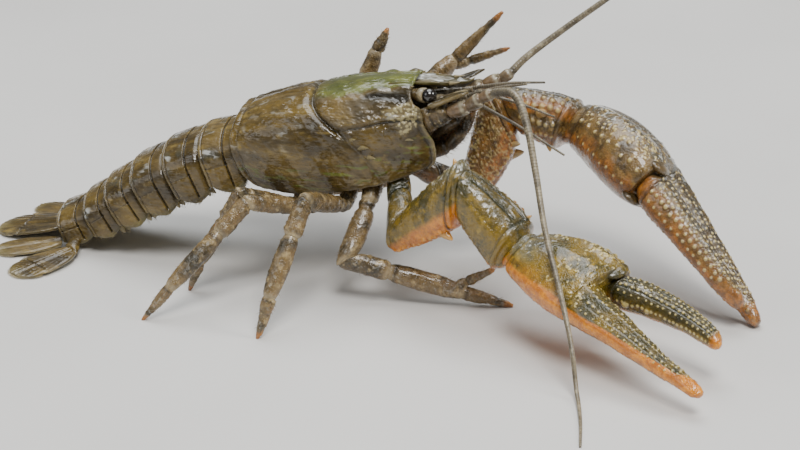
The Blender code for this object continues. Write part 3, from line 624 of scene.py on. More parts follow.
def shell_pattern() -> bpy.types.NodeTree:
    """The mottling shared by every hard shell: broad patches, fine flecks, granules and a wet film.

    Returns:
        The node group.
    """
    tree = bpy.data.node_groups.new("shell_pattern", "ShaderNodeTree")
    for way, sockets in (("INPUT", {"Place": "Vector", "Dark": "Color", "Mid": "Color", "Light": "Color",
            "Size": "Float"}),
            ("OUTPUT", {"Color": "Color", "Film": "Float", "Height": "Float", "Patch": "Float"})):
        for name, kind in sockets.items():
            tree.interface.new_socket(name, in_out=way, socket_type=f"NodeSocket{kind}")
    g = Graph(tree)
    given = g.node("NodeGroupInput").outputs
    place, size, dark, mid, light = (given[name] for name in ("Place", "Size", "Dark", "Mid", "Light"))
    broad = g.noise(place, size, 4.0)
    fine = g.noise(place, g.times(size, 6.0), 4.0)
    base = g.mix(g.ramp(broad, 0.34, 0.6), dark, mid)
    base = g.mix(g.ramp(g.noise(place, g.times(size, 2.3), 3.0), 0.52, 0.72), base, light)
    base = g.mix(g.ramp(fine, 0.3, 0.52, 0.55, 0.0), base, dark)
    base = g.mix(g.ramp(fine, 0.58, 0.74, 0.0, 0.45), base, light)
    cells = g.node("ShaderNodeTexVoronoi", {"Vector": place, "Scale": g.times(size, 13.0)}).outputs[0]
    grain = g.node("ShaderNodeMath", {0: g.ramp(cells, 0.0, 0.75, 1.0, 0.0), 1: g.times(fine, 0.8)})
    film = g.ramp(g.noise(place, g.times(size, 1.4), 2.0), 0.38, 0.66)
    g.node("NodeGroupOutput", {"Color": base, "Film": film, "Height": grain.outputs[0], "Patch": broad})
    return tree


@dataclass(frozen=True)
class ShellFinish:
    """Hard shell: mottled colour, coloured margins, tubercles and a wet gloss, with highlight specks painted
    on the glossy patches.
    """

    name: str
    dark: Colour
    mid: Colour
    light: Colour
    knob: Colour
    warm: Colour
    warm_deep: Colour
    pale: Colour
    shade: Colour
    # Painted highlight: colour of the white highlight specks painted on the glossy patches.
    wet: Colour = (0.5, 0.52, 0.5)
    # Dark colour that the glossy patches take between the painted highlight specks.
    film: Colour = (0.06, 0.064, 0.05)
    size: float = 110.0
    rough: Tuple[float, float] = (0.14, 0.38)
    coat: float = 0.75
    grain: float = 0.00012
    stretch: Triple = (1.0, 1.0, 1.0)

    def material(self, pattern: bpy.types.NodeTree) -> Material:
        """The material, with the shared pattern placed in it.

        Args:
            pattern: The shell_pattern group.

        Returns:
            The new material.
        """
        mat, g, place = Graph.material(self.name)
        place = g.node("ShaderNodeMapping", {"Vector": place, "Rotation": (0.0, BODY_PITCH, 0.0),
            "Scale": self.stretch}).outputs[0]
        shell = g.node("ShaderNodeGroup", node_tree=pattern)
        for name, value in (("Dark", self.dark), ("Mid", self.mid), ("Light", self.light)):
            shell.inputs[name].default_value = (*value, 1.0)
        shell.inputs["Size"].default_value = self.size
        g.tree.links.new(place, shell.inputs["Place"])
        colour, film, height, patch = shell.outputs
        uneven = g.ramp(patch, 0.3, 0.7, 0.65, 1.25)
        # Pale marks: mostly the shell's own pale margins and rims; where a piece lightens the top of a part,
        # this is painted highlight.
        colour = g.mix(g.times(g.mask("pale"), uneven), colour, self.pale)
        warm = g.mix(g.ramp(g.noise(place, self.size * 3.0), 0.38, 0.66), self.warm_deep, self.warm)
        colour = g.mix(g.ramp(g.times(g.mask("warm"), uneven), 0.15, 0.8), colour, warm)
        # Painted highlight: on the glossy patches the colour is pulled towards a dark ground with white
        # highlight specks painted on it, and the roughness drops.
        sheen = g.times(g.mask("wet"), g.ramp(g.noise(place, self.size * 3.0), 0.36, 0.56))
        spark = g.ramp(g.noise(place, self.size * 5.0, 2.0), 0.55, 0.62)
        colour = g.mix(g.times(sheen, g.ramp(spark, 0.0, 1.0, 0.72, 0.9)), colour,
            g.mix(spark, self.film, self.wet))
        # Darker marks pull the colour towards the shade colour: painted shade where a piece darkens its
        # grooves and hollows, and darker colour at joints and markings elsewhere.
        colour = g.mix(g.ramp(g.mask("dark"), 0.0, 1.0, 0.0, 0.92), colour, self.shade)
        colour = g.mix(g.ramp(g.mask("knob"), 0.25, 0.85, 0.0, 0.92), colour, self.knob)
        rough = g.times(g.ramp(film, 0.0, 1.0, *self.rough), g.ramp(sheen, 0.0, 0.8, 1.0, 0.45))
        g.shade({"Base Color": colour, "Roughness": rough, "Normal": g.bump(height, 0.7, self.grain),
            "Coat Weight": self.coat, "Coat Roughness": 0.07, "IOR": 1.5, "Specular IOR Level": 0.5})
        return mat


@dataclass(frozen=True)
class EyeFinish:
    """Glossy black eye with fine facets and a faint brown cast."""

    name: str = "black_eye"
    dark: Colour = (0.004, 0.004, 0.005)
    cast: Colour = (0.02, 0.013, 0.008)

    def material(self) -> Material:
        """The material.

        Returns:
            The finished material.
        """
        mat, g, place = Graph.material(self.name)
        colour = g.mix(g.ramp(g.noise(place, 900.0), 0.4, 0.7), self.dark, self.cast)
        facets = g.node("ShaderNodeTexVoronoi", {"Vector": place, "Scale": 6500.0}).outputs[0]
        rough = g.ramp(g.noise(place, 500.0), 0.3, 0.7, 0.04, 0.12)
        g.shade({"Base Color": colour, "Roughness": rough, "Normal": g.bump(facets, 0.25, 0.00002),
            "Coat Weight": 1.0, "Coat Roughness": 0.03})
        return mat


@dataclass(frozen=True)
class FloorFinish:
    """Plain pale matt floor with the slightest cloudiness."""

    low: Colour = (0.6, 0.59, 0.57)
    high: Colour = (0.66, 0.65, 0.63)

    def material(self) -> Material:
        """The material.

        Returns:
            The finished material.
        """
        mat, g, place = Graph.material("pale_floor")
        colour = g.mix(g.ramp(g.noise(place, 6.0), 0.3, 0.7), self.low, self.high)
        g.shade({"Base Color": colour, "Roughness": 0.75})
        return mat


@dataclass
class Finishes:
    """Every finish of the animal, made once."""

    shield: Material
    claw: Material
    far_claw: Material
    leg: Material
    under: Material
    feeler: Material
    eye: Material

    @classmethod
    def make(cls) -> "Finishes":
        """Makes the shared pattern and the materials.

        Returns:
            The finishes, ready for the pieces.
        """
        shells = (
            ShellFinish("olive_shield", (0.038, 0.025, 0.007), (0.14, 0.09, 0.019), (0.24, 0.165, 0.042),
                (0.4, 0.34, 0.17), (0.15, 0.165, 0.026), (0.075, 0.085, 0.018), (0.34, 0.28, 0.15),
                (0.012, 0.01, 0.006), size=120.0, rough=(0.2, 0.5), coat=0.4, stretch=(0.4, 1.0, 1.0)),
            ShellFinish("golden_claw", (0.05, 0.042, 0.006), (0.215, 0.135, 0.009), (0.35, 0.225, 0.022),
                (0.6, 0.48, 0.17), (0.8, 0.29, 0.01), (0.5, 0.15, 0.008), (0.42, 0.37, 0.2),
                (0.014, 0.018, 0.006), size=200.0, rough=(0.12, 0.34)),
            ShellFinish("rusty_claw", (0.06, 0.038, 0.013), (0.2, 0.12, 0.033), (0.33, 0.215, 0.068),
                (0.56, 0.44, 0.18), (0.42, 0.16, 0.026), (0.18, 0.075, 0.018), (0.42, 0.34, 0.2),
                (0.022, 0.017, 0.009), size=220.0, rough=(0.12, 0.36)),
            ShellFinish("mottled_leg", (0.034, 0.025, 0.011), (0.19, 0.122, 0.045), (0.42, 0.31, 0.145),
                (0.52, 0.43, 0.25), (0.46, 0.19, 0.035), (0.24, 0.085, 0.02), (0.48, 0.39, 0.23),
                (0.02, 0.015, 0.008), size=190.0, rough=(0.18, 0.46), coat=0.45),
            ShellFinish("pale_underside", (0.17, 0.11, 0.055), (0.33, 0.24, 0.13), (0.48, 0.38, 0.24),
                (0.55, 0.47, 0.32), (0.5, 0.24, 0.07), (0.3, 0.13, 0.05), (0.56, 0.48, 0.34),
                (0.05, 0.036, 0.022), size=160.0, rough=(0.24, 0.5), coat=0.3),
            ShellFinish("ringed_feeler", (0.058, 0.045, 0.026), (0.175, 0.14, 0.085), (0.34, 0.29, 0.185),
                (0.5, 0.43, 0.29), (0.3, 0.17, 0.07), (0.18, 0.1, 0.04), (0.46, 0.4, 0.27),
                (0.036, 0.029, 0.018), size=240.0, rough=(0.22, 0.42), coat=0.35, grain=0.00005),
        )
        pattern = shell_pattern()
        return cls(*(shell.material(pattern) for shell in shells), EyeFinish().material())


@dataclass
class Shield:
    """The shield of head and thorax, with its grooves, ridges, granules, thorns and beak.

    Each row of lumps is (distance back, share, length, width, height). Each row of
    granules is (step and share of one corner, the same of the other, how many,
    least and greatest radius, least and greatest height, seed). Each row of thorns
    is (back, side and height of its base, the same of its tip, radius).
    """

    finishes: Finishes
    at: Row = (8.0, 13.0, 17.0, 20.0, 25.0, 30.0, 36.0, 42.0, 47.0, 52.0, 57.0)
    half: Row = (6.6, 8.6, 9.8, 10.6, 12.2, 13.2, 13.8, 14.0, 13.7, 12.8, 11.2)
    crest: Row = (-2.8, -1.8, -1.0, -0.6, -0.15, 0.0, -0.4, -0.3, -0.8, -1.5, -2.6)
    widest: Row = (-7.1, -8.7, -10.5, -11.3, -11.9, -12.0, -12.1, -11.7, -11.4, -10.9, -10.1)
    margin: Row = (-19.6, -21.4, -22.2, -22.6, -22.9, -23.0, -22.9, -22.3, -21.2, -19.6, -17.0)
    belly: Row = (-8.1, -12.1, -16.3, -18.3, -19.8, -20.1, -20.0, -19.4, -18.3, -16.7, -14.1)
    shares: Row = (0.0, 0.18, 0.3, 0.42, 0.52, 0.6, 0.75, 0.9, 1.0)
    front: Row = (12.6, 12.8, 13.2, 12.7, 11.4, 11.4, 10.3, 11.0, 12.8)
    inner: Row = (12.6, 12.8, 13.2, 12.7, 11.4, 12.8, 15.2, 17.6, 19.6)
    groove: Row = (37.0, 36.2, 34.6, 31.6, 28.6, 26.4, 24.4, 23.6, 23.2)
    rear: Row = (55.2, 55.6, 56.2, 56.8, 57.0, 56.8, 56.0, 54.0, 51.5)
    lumps: Table = ((15.0, 0.225, 2.0, 0.038, 1.15), (20.7, 0.215, 2.2, 0.036, 0.95),
        (20.6, 0.31, 1.3, 0.03, 0.55), (17.4, 0.41, 2.0, 0.045, 0.4))
    granules: Table = ((0.03, 0.33, 0.62, 0.6, 420, 0.28, 0.58, 0.1, 0.24, 3),
        (0.6, 0.05, 0.98, 0.45, 240, 0.28, 0.5, 0.06, 0.14, 9),
        (1.06, 0.05, 1.94, 0.92, 760, 0.32, 0.6, 0.05, 0.12, 4),
        (0.05, 0.66, 0.95, 0.92, 140, 0.28, 0.45, 0.03, 0.07, 5))
    thorns: Table = ((16.0, 5.0, -2.9, 12.2, 5.4, -2.5, 0.85), (26.4, 11.7, -12.9, 23.4, 13.6, -12.8, 0.8),
        (24.6, 11.9, -15.4, 22.6, 13.2, -15.6, 0.6), (17.4, 8.5, -13.2, 14.0, 9.5, -13.8, 0.75),
        (27.6, 12.4, -10.6, 26.0, 13.4, -10.4, 0.5))
    flank_from: float = 0.55
    lip: float = 2.2

    def edge(self, share: Array, line: Row) -> Array:
        """Distance back of one of the three lines at shares from crest to margin."""
        return flow(share, self.shares, line)

    def back(self, share: Array, t: Array) -> Array:
        """Distance back at a step t: 0 front edge, 1 cross groove, 2 rear edge, straight between them."""
        front, groove, rear = (self.edge(share, line) for line in (self.front, self.groove, self.rear))
        return np.where(t <= 1.0, front + (groove - front) * t, groove + (rear - groove) * (t - 1.0))

    def section(self, share: Array, back: Array) -> Tuple[Array, Array]:
        """Place to the side and height: two quarter turns that meet where the flank starts.

        Over the top the side is half * sin^0.92 and the height falls from the crest
        by cos^0.86; below, the side draws in by a fifth as the height goes to the
        margin by sin^0.95.

        Args:
            share: Place round the section, 0 at the crest and 1 at the margin.
            back: Station behind the beak's tip.

        Returns:
            Place to the side, and height.
        """
        rows = (self.half, self.crest, self.widest, self.margin)
        half, crest, middle, margin = (flow(back, self.at, row) for row in rows)
        top = np.clip(share / self.flank_from, 0.0, 1.0) * math.pi / 2.0
        low = np.clip((share - self.flank_from) / (1.0 - self.flank_from), 0.0, 1.0) * math.pi / 2.0
        over = share <= self.flank_from
        top_cos, low_cos = (np.maximum(np.cos(angle), 0.0) for angle in (top, low))
        side = half * np.where(over, np.sin(top) ** 0.92, 0.8 + 0.2 * low_cos ** 0.9)
        height = middle + np.where(over, (crest - middle) * top_cos ** 0.86,
            (margin - middle) * np.sin(low) ** 0.95)
        return side, height

    def relief(self, share: Array, t: Array, back: Array, side: Array) -> Tuple[Array, Array]:
        """Grooves and ridges, as the lift of the surface and how deep in a groove it lies.

        Each is a bell across its line: the cross groove, the cheek groove, the two
        lines down the back, the rims, the ridges behind the eyes and the keels that
        run back from the beak.

        Args:
            share: Place round the section.
            t: Place along, 1 at the cross groove.
            back: Station behind the beak's tip.
            side: Place to the side.

        Returns:
            The lift, and the depth.
        """
        off = back - self.edge(share, self.groove)
        ahead = back - self.edge(share, self.front)
        behind = self.edge(share, self.rear) - back
        cheek_line = flow(back, (10.0, 20.0, 31.0), (0.622, 0.475, 0.455))
        cross = hump(off, 0.0, 0.6) * (1.0 - 0.75 * step(0.44, 0.56, share)) * (1.0 - step(0.86, 0.97, share))
        cheek = hump(share, cheek_line, 0.011) * window(t, 0.03, 0.97, 0.04)
        lines = hump(side, 2.0 + 1.3 * ((back - 45.0) / 9.0) ** 2, 0.35)
        lines = lines * step(0.0, 2.0, off) * step(1.5, 3.0, behind)
        rear_line = hump(behind, 1.7, 0.42)
        rim_line = hump(share, 0.945, 0.011) * step(0.05, 0.2, t)
        front_line = hump(ahead, 1.1, 0.35) * step(0.5, 0.6, share)
        outer = hump(side, 7.4, 0.6) * window(back, 14.5, 23.0, 1.5) * (share < 0.5)
        lift = -0.7 * cross - 0.42 * cheek - 0.22 * lines - 0.3 * rear_line - 0.28 * rim_line
        lift += 0.22 * hump(off, 2.1, 1.1) + 0.18 * hump(off, -2.0, 1.1) - 0.4 * outer - 0.22 * front_line
        lift += 0.35 * hump(share, cheek_line - 0.035, 0.02) * (t < 0.95)
        lift += sum(row[4] * self.lump(row, share, back) for row in self.lumps)
        lift += 0.42 * hump(side, 3.5, 0.45) * window(back, 12.5, 17.0, 3.0) * (share < 0.4)
        lift += 0.2 * hump(ahead, 0.3, 0.5) + 0.16 * hump(behind, 0.4, 0.6)
        deep = 0.8 * cross + 0.9 * cheek + 0.45 * lines + 0.5 * rear_line + 0.4 * rim_line
        return lift, np.clip(deep + 0.5 * front_line + 0.8 * outer, 0.0, 1.0)

    def lump(self, row: Row, share: Array, back: Array, spread: float = 1.0) -> Array:
        """A round swelling, one at the middle, from a row of the lumps."""
        return hump(back, row[0], row[2] * spread) * hump(share, row[1], row[3] * spread)

    def seeds(self, low: Tuple[float, float], high: Tuple[float, float], count: int, seed: int) -> Array:
        """Random places on both flanks between two corners given as (step, share).

        Args:
            low: First corner.
            high: Corner across from it.
            count: Number of places.
            seed: Seed of the random draws.

        Returns:
            One point a row.
        """
        rng = np.random.default_rng(seed)
        t, share = rng.uniform(low[0], high[0], count), rng.uniform(low[1], high[1], count)
        side, height = self.section(share, self.back(share, t))
        return on_body(self.back(share, t), side * rng.choice((-1.0, 1.0), count), height)

    def build(self) -> None:
        """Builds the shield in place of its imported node.

        Rows of the grid run from the inside of the front lip over both edges to the
        inside of the rear one; columns run down one flank, under the belly and up
        the other flank.
        """
        outer, under = np.linspace(0.0, 1.0, 140), np.linspace(0.0, 1.0, 18)[1:]
        share = mirrored(np.concatenate([outer, np.ones_like(under)]))
        tuck = mirrored(np.concatenate([np.zeros_like(outer), under]))
        sign = mirrored(-np.ones(len(outer) + len(under)), -1.0)
        t = np.unique(np.concatenate([np.linspace(*row) for row in ((0.0, 1.0, 110), (1.0, 2.0, 84),
            (0.93, 1.07, 28))]))
        first, last = np.array((1.0, 0.7, 0.45, 0.25, 0.1, 0.03)), np.array((0.03, 0.12, 0.3, 0.6, 1.0))
        ahead = np.concatenate([first, np.zeros(len(t) + len(last))])[:, None]
        astern = np.concatenate([np.zeros(len(first) + len(t)), last])[:, None]
        t = np.concatenate([np.zeros(len(first)), t, np.full(len(last), 2.0)])[:, None]
        depth = self.edge(share, self.inner) - self.edge(share, self.front) + self.lip
        back = self.back(share, t) + depth * ahead - 0.9 * astern
        side, height = self.section(share, back)
        lift, deep = self.relief(share, t, back, side)
        whole = (ahead + astern == 0.0) * (tuck == 0.0)
        shrink = 1.0 - 0.1 * np.sqrt(ahead) - 0.08 * np.sqrt(astern)
        turned_in = np.clip((share - self.flank_from) * 4.0, -1.0, 1.0)
        height = height + 0.9 * turned_in * (np.sqrt(ahead) + np.sqrt(astern))
        start, stop = self.inner[-1], self.groove[-1]
        drawn = np.where(t < 1.0, start + (stop - start) * t + self.lip * ahead, back)
        back = back + (drawn - back) * step(0.0, 0.25, tuck)
        height = height + (flow(back, self.at, self.belly) - height) * np.sin(tuck * math.pi / 2.0) ** 0.8
        grid = on_body(back, sign * side * shrink * (1.0 - tuck), height)
        rough, spots = self.grains(grid)
        lift = (lift + rough + 0.12 * ripple(grid, 5.0, 7) + 0.05 * ripple(grid, 1.6, 8)) * whole
        grid = raised(grid, lift)
        rim = hump(back - self.edge(share, self.front), 0.2, 0.5) * step(0.55, 0.65, share)
        crown = (1.0 - step(0.15, 0.24, share + 0.02 * ripple(grid, 3.0, 17))) * (1.0 - step(0.75, 1.2, t))
        mottle = window(share, 0.4, 0.585, 0.03) * window(t, 0.0, 0.28, 0.12)
        flat = grid * np.array((0.16, 1.0, 1.0))
        flank = step(0.6, 0.66, share)
        streak = step(-0.1, 0.8, ripple(flat, 1.3, 18) + 0.5 * ripple(flat, 0.7, 19)) * flank
        brow = window(share, 0.26, 0.4, 0.04) * window(t, 0.0, 0.6, 0.2) * (1.0 - mottle)
        # Painted shade: the grooves darken with their depth, and the turned-in face of the front lip is
        # darkened where the masks are set below; the brow patch and the gaps between the flank streaks are
        # also darker.
        dark = deep * 0.85 + 0.55 * brow + 0.3 * step(0.25, 0.75, 1.0 - streak) * flank
        # Painted highlight: patches over the top, and the lumps behind the eyes, are marked for glossy
        # painted highlight specks.
        film = window(share, 0.05, 0.5, 0.1) * step(-0.2, 0.9, ripple(grid, 4.0, 20))
        knobbly = sum(row[4] * self.lump(row, share, back, 1.2) for row in self.lumps)
        skin = Skin("shield")
        skin.tube(grid, {
                "dark": np.clip(dark, 0.0, 1.0) * whole + (ahead > 0.2) * 0.9,
                "pale": 0.65 * rim + 0.35 * mottle + 0.8 * (tuck > 0.0) + 0.2 * step(0.8, 1.0, share),
                "warm": 0.85 * crown + 0.75 * streak * (1.0 - step(0.72, 1.0, share)),
                "knob": spots * whole * (0.72 * mottle + 0.3),
                "wet": np.minimum(0.85 * knobbly + 0.3 * film, 0.9) * whole,
            }, steps=3)
        table = np.array(self.thorns).T
        for sign in BOTH_SIDES:
            bases, tips = (on_body(rows[0], sign * rows[1], rows[2]) for rows in (table[:3], table[3:6]))
            skin.cones(bases, tips, table[6], columns=14, rows=10, masks={"knob": 0.5})
        self.beak(skin)
        skin.build(self.finishes.shield, Slot.OLIVE, "carapace")

    def grains(self, grid: Array) -> Tuple[Array, Array]:
        """Lift and mask of the granules on the shield.

        Args:
            grid: The grid of points, rows by columns.

        Returns:
            Lift of the surface, and the mask from 0 to 1.
        """
        rng = np.random.default_rng(6)
        seeds = np.concatenate([self.seeds(r[:2], r[2:4], r[4], r[9]) for r in self.granules])
        radius, height = (np.concatenate([rng.uniform(r[i], r[i + 1], r[4]) for r in self.granules])
            for i in (5, 7))
        return bumps(grid, seeds, radius, height)

    def beak(self, skin: Skin) -> None:
        """Adds the trough-shaped beak.

        Round the section, with c and s the cosine and sine of the angle, the place
        to the side is the half width times c; the top dips by s squared, the
        underside bulges by |s|^0.8, and a bead stands along either edge.

        Args:
            skin: The skin that takes it.
        """
        knots = (0.0, 0.8, 2.2, 3.4, 4.1, 6.0, 9.0, 12.0, 16.0, 19.0)
        width = (0.22, 0.5, 0.95, 1.4, 2.3, 2.5, 2.9, 3.3, 3.9, 4.3)
        level = (-4.6, -4.72, -4.55, -4.3, -4.15, -3.8, -3.1, -2.4, -1.6, -1.25)
        back = np.linspace(0.0, 18.5, 110)[:, None]
        angle = turns(72)
        w, c, s = flow(back, knots, width), np.cos(angle), np.sin(angle)
        fade = 1.0 - step(13.0, 18.0, back)
        top = -np.minimum(w * 0.3, 0.75) * s ** 2 * (s > 0.0) * fade
        low = -np.minimum(w * 0.5, 0.5) * 3.0 * np.abs(s) ** 0.8 * (s < 0.0)
        bead = (0.14 + 0.14 * np.minimum(w / 2.5, 1.0)) * np.exp(-(s / 0.42) ** 2) * fade
        grid = on_body(back, w * c, flow(back, knots, level) + top + low + bead)
        grid = raised(grid, 0.1 * ripple(grid, 2.2, 19) * fade)
        # Painted light on the beak: its top is lightened and marked for painted highlight specks, and its
        # underside is darkened as painted shade.
        skin.tube(grid, {"pale": 0.45 * (s > -0.15) * fade * step(-1.0, 4.0, back),
            "wet": 0.95 * step(-0.1, 0.3, s) * fade, "warm": 0.5 * hump(s, -0.15, 0.25) * fade,
            "dark": 0.75 * (s < -0.35)}, domes=(0.15, 0.0), steps=3)
        bases = np.array([*(on_body(5.0, x * 2.25, -4.05) for x in BOTH_SIDES), on_body(0.6, 0.0, -4.85)])
        tips = np.array([*(on_body(2.5, x * 2.45, -4.1) for x in BOTH_SIDES), on_body(-0.6, 0.0, -4.1)])
        skin.cones(bases, tips, np.array((0.5, 0.5, 0.35)), columns=12, masks={"pale": 0.8})


@dataclass
class Head:
    """Eyes, antennules, antennae, scales, face plates and jaw legs."""

    finishes: Finishes

    def build(self) -> None:
        """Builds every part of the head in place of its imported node."""
        self.face()
        for side in Side:
            self.eye(side)
            self.antennule(side)
            self.antenna_base(side)
            self.scale(side)
            self.jaw_leg(side)

    def face(self) -> None:
        """The plates between antennae and mouth, with a ridge below and granules."""
        knots = (8.6, 10.0, 12.5, 15.35)
        back = np.linspace(knots[0], knots[-1], 40)[:, None]
        high, low, wide = (flow(back, knots, row) for row in ((-9.4, -8.2, -7.8, -8.6),
            (-12.6, -14.5, -16.6, -17.0), (2.4, 3.6, 4.0, 3.6)))
        c, s = np.cos(turns(64)), np.sin(turns(64))
        grid = on_body(back, wide * c, (high + low) / 2.0 + (high - low) / 2.0 * s)
        lift, spots = bumps(grid, grid[6:34:4, ::7].reshape(-1, 3), 0.6, 0.22)
        lift += 0.35 * hump(c, 0.0, 0.16) * (s < 0.0) + 0.06 * ripple(grid, 2.0, 11)
        skin = Skin("face_plates_skin")
        skin.tube(raised(grid, lift), {"knob": spots * 0.4, "dark": 0.55}, (0.9, 0.0))
        skin.build(self.finishes.under, Slot.UNDER, "face_plates")

    def eye(self, side: Side) -> None:
        """One eye on its stalk, with the collar that the eye sits in.

        Args:
            side: The side of the body.
        """
        places = ((14.5, 3.0, -4.95), (10.9, 4.2, -5.3), (7.9, 5.8, -5.4))
        root, seat, far = (spot(back, side.value * out, height) for back, out, height in places)
        rows = ((0.0, 1.4, 1.3), (0.5, 1.55, 1.5), (0.86, 1.75, 1.75), (1.0, 1.75, 1.72))
        limb = Limb(root, seat, UPWARD, rows, end=bend(root, seat, far), gaps=(HALF_GAP, -0.35))
        grid, u, v = limb.grid(30, 36)
        skin = Skin.over("eye_stalk", side.tag)
        # Painted light: the top of the stalk is marked for painted highlight specks, and its root half, down
        # in the orbit, is darkened as painted shade.
        skin.tube(grid, {"pale": 0.75 * step(0.55, 0.95, u), "dark": 0.25 * (u < 0.5),
            "wet": 0.5 * step(0.2, 0.9, np.sin(v))}, (0.3, 0.2))
        skin.build(self.finishes.leg, Slot.LEG)
        axis, across, up = frame_for(far - seat, UPWARD)
        middle = placed(seat) + axis * 1.62
        ball = Skin(f"eye_ball_{side.tag}")
        ball.ball(middle, (across * 1.76, up * 1.72, axis * 1.72))
        ball.build(self.finishes.eye, Slot.EYE, f"eye_{side.tag}")

    def antennule(self, side: Side) -> None:
        """The short feeler: three joints and two ringed lashes.

        Args:
            side: The side of the body.
        """
        sign = side.value
        a, b = spot(12.6, sign * 1.7, -7.0), spot(1.5, sign * 2.6, -7.6)
        rows = ((0.0, 1.0, 0.85), (0.1, 1.2, 1.02), (0.45, 1.2, 1.0), (0.52, 0.9, 0.8), (0.58, 1.05, 0.9),
            (0.76, 1.0, 0.85), (0.8, 0.78, 0.7), (0.84, 0.9, 0.8), (1.0, 0.82, 0.74))
        grid, u, _ = Limb(a, b, UPWARD, rows).grid(60, 28)
        skin = Skin.over("antennule", side.tag)
        skin.tube(grid, {"dark": 0.6 * (hump(u, 0.52, 0.02) + hump(u, 0.8, 0.02))}, (0.3, 0.3))
        ends = {Side.RIGHT: ((12.0, -3.5, 52.0), (23.5, -11.0, 39.0)),
            Side.LEFT: ((15.0, 3.0, 50.5), (18.0, 4.5, 42.0))}
        for k, tip in enumerate(np.array(ends[side])):
            start = b - unit(tip - b) * 1.2 + UPWARD * (0.35 - 0.7 * k)
            rows = ((0.0, 0.42, 0.42), (0.5, 0.34, 0.34, 0.0, -0.5), (1.0, 0.22, 0.22, 0.0, -2.0))
            lash, u, _ = Limb(start, tip, UPWARD, rows, gaps=(0.0, 0.0)).grid(150, 10)
            rings = 0.5 + 0.5 * np.cos(u * np.linalg.norm(tip - start) / 0.55 * TAU)
            skin.tube(raised(lash, 0.05 * rings), {"dark": 0.7 * (1.0 - rings)}, (0.1, 0.2), steps=2)
        skin.build(self.finishes.feeler, Slot.LEG)

    def antenna_base(self, side: Side) -> None:
        """The broad basal joint of the long feeler, with thorns and the next two joints.

        Args:
            side: The side of the body.
        """
        sign = side.value
        a, b = spot(13.25, sign * 5.2, -11.2), spot(5.4, sign * 7.1, -9.3)
        rows = ((0.0, 1.0, 2.1), (0.15, 1.4, 2.7), (0.4, 1.9, 2.9), (0.52, 1.6, 2.3), (0.58, 1.9, 2.5),
            (0.9, 2.1, 2.3), (1.0, 1.8, 1.9))
        limb = Limb(a, b, UPWARD, rows, power=2.3)
        grid, u, v = limb.grid(60, 48)
        shares = np.random.default_rng(12).uniform(0.1, 0.9, 40)
        angles = np.random.default_rng(13).uniform(0.0, TAU, 40)
        lift, spots = bumps(grid, limb.points(shares, angles), 0.45, 0.14)
        skin = Skin.over("antenna_base", side.tag)
        # Painted highlight: the top is marked for painted highlight specks.
        skin.tube(raised(grid, lift), {"knob": spots * 0.6, "dark": 0.7 * hump(u, 0.53, 0.03) + 0.3,
            "wet": 0.5 * step(0.3, 0.9, np.sin(v))}, (0.4, 0.5))
        place, normal = limb.seat(np.array((0.55, 0.35, 0.5)), np.array((0.5, -0.8, 2.6)))
        tips = place + normal * 0.9 + limb.axes()[0] * 1.3
        skin.cones(place - normal * 0.3, tips, 0.45, masks={"pale": 0.5})
        skin.build(self.finishes.leg, Slot.LEG)

    def scale(self, side: Side) -> None:
        """The leaf beside the long feeler: thick outer edge, thorn, thin inner edge with a fringe.

        Args:
            side: The side of the body.
        """
        sign = side.value
        a, b = spot(9.4, sign * 7.6, -7.0), spot(-0.5, sign * 6.5, -5.0)
        rows = ((0.0, 1.0, 0.5), (0.1, 1.6, 0.55), (0.5, 2.3, 0.5, -0.2), (0.8, 1.5, 0.42, 0.4),
            (0.9, 0.6, 0.35, 1.2), (1.0, 0.22, 0.22, 1.3))
        limb = Limb(a, b, UPWARD, rows, flip=sign)
        grid, u, v = limb.grid(70, 48)
        c = np.cos(v)
        lift = 0.22 * hump(c, 0.75, 0.18) - 0.12 * hump(c, 0.35, 0.2) + 0.03 * ripple(grid, 1.2, 14)
        skin = Skin.over("antennal_scale", side.tag)
        # Painted highlight: the top is marked for painted highlight specks.
        skin.tube(raised(grid, lift * window(u, 0.08, 0.85, 0.05)), {"pale": 0.18 * step(0.6, 0.9, c),
            "dark": 0.3 + 0.25 * (c < 0.3), "wet": 0.5 * step(0.3, 0.9, np.sin(v))}, (0.2, 0.2))
        t = np.linspace(0.12, 0.86, 56)
        place, normal = limb.seat(t, np.full(56, math.pi))
        skin.hairs(place - normal * 0.1, place + normal * 1.1 + limb.axes()[0] * 0.9, 0.055, pale=0.6)
        skin.build(self.finishes.shield, Slot.OLIVE)

    def jaw_leg(self, side: Side) -> None:
        """A broad joint under the mouth, two more turned up in front, an inner pair, and hairs.

        Args:
            side: The side of the body.
        """
        sign = side.value
        skin = Skin.over("jaw_leg", side.tag)
        rng = np.random.default_rng(15)
        line = [spot(b, sign * w, h) for b, w, h in
            ((18.45, 1.75, -20.0), (9.0, 2.25, -18.7), (4.0, 2.6, -15.2), (2.3, 2.2, -11.8),
            (12.4, 1.5, -15.6), (4.6, 2.1, -12.9), (2.9, 1.7, -11.6))]
        halves = {0: (1.55, 1.9, 1.6, 1.7), 1: (1.35, 1.5, 1.0, 1.1), 2: (0.8, 0.9, 0.4, 0.45),
            4: (1.2, 1.5, 1.0, 1.3), 5: (0.9, 1.0, 0.4, 0.5)}
        for k, (wide, tall, wide_end, tall_end) in halves.items():
            rows = ((0.0, wide * 0.8, tall * 0.75), (0.12, wide, tall), (0.6, wide * 1.05, tall),
                (0.93, wide_end, tall_end), (1.0, wide_end * 0.75, tall_end * 0.75))
            limb = Limb(line[k], line[k + 1], UPWARD, rows, flip=-sign, gaps=(0.0 if k else HALF_GAP, 0.0))
            grid, u, v = limb.grid(44, 28)
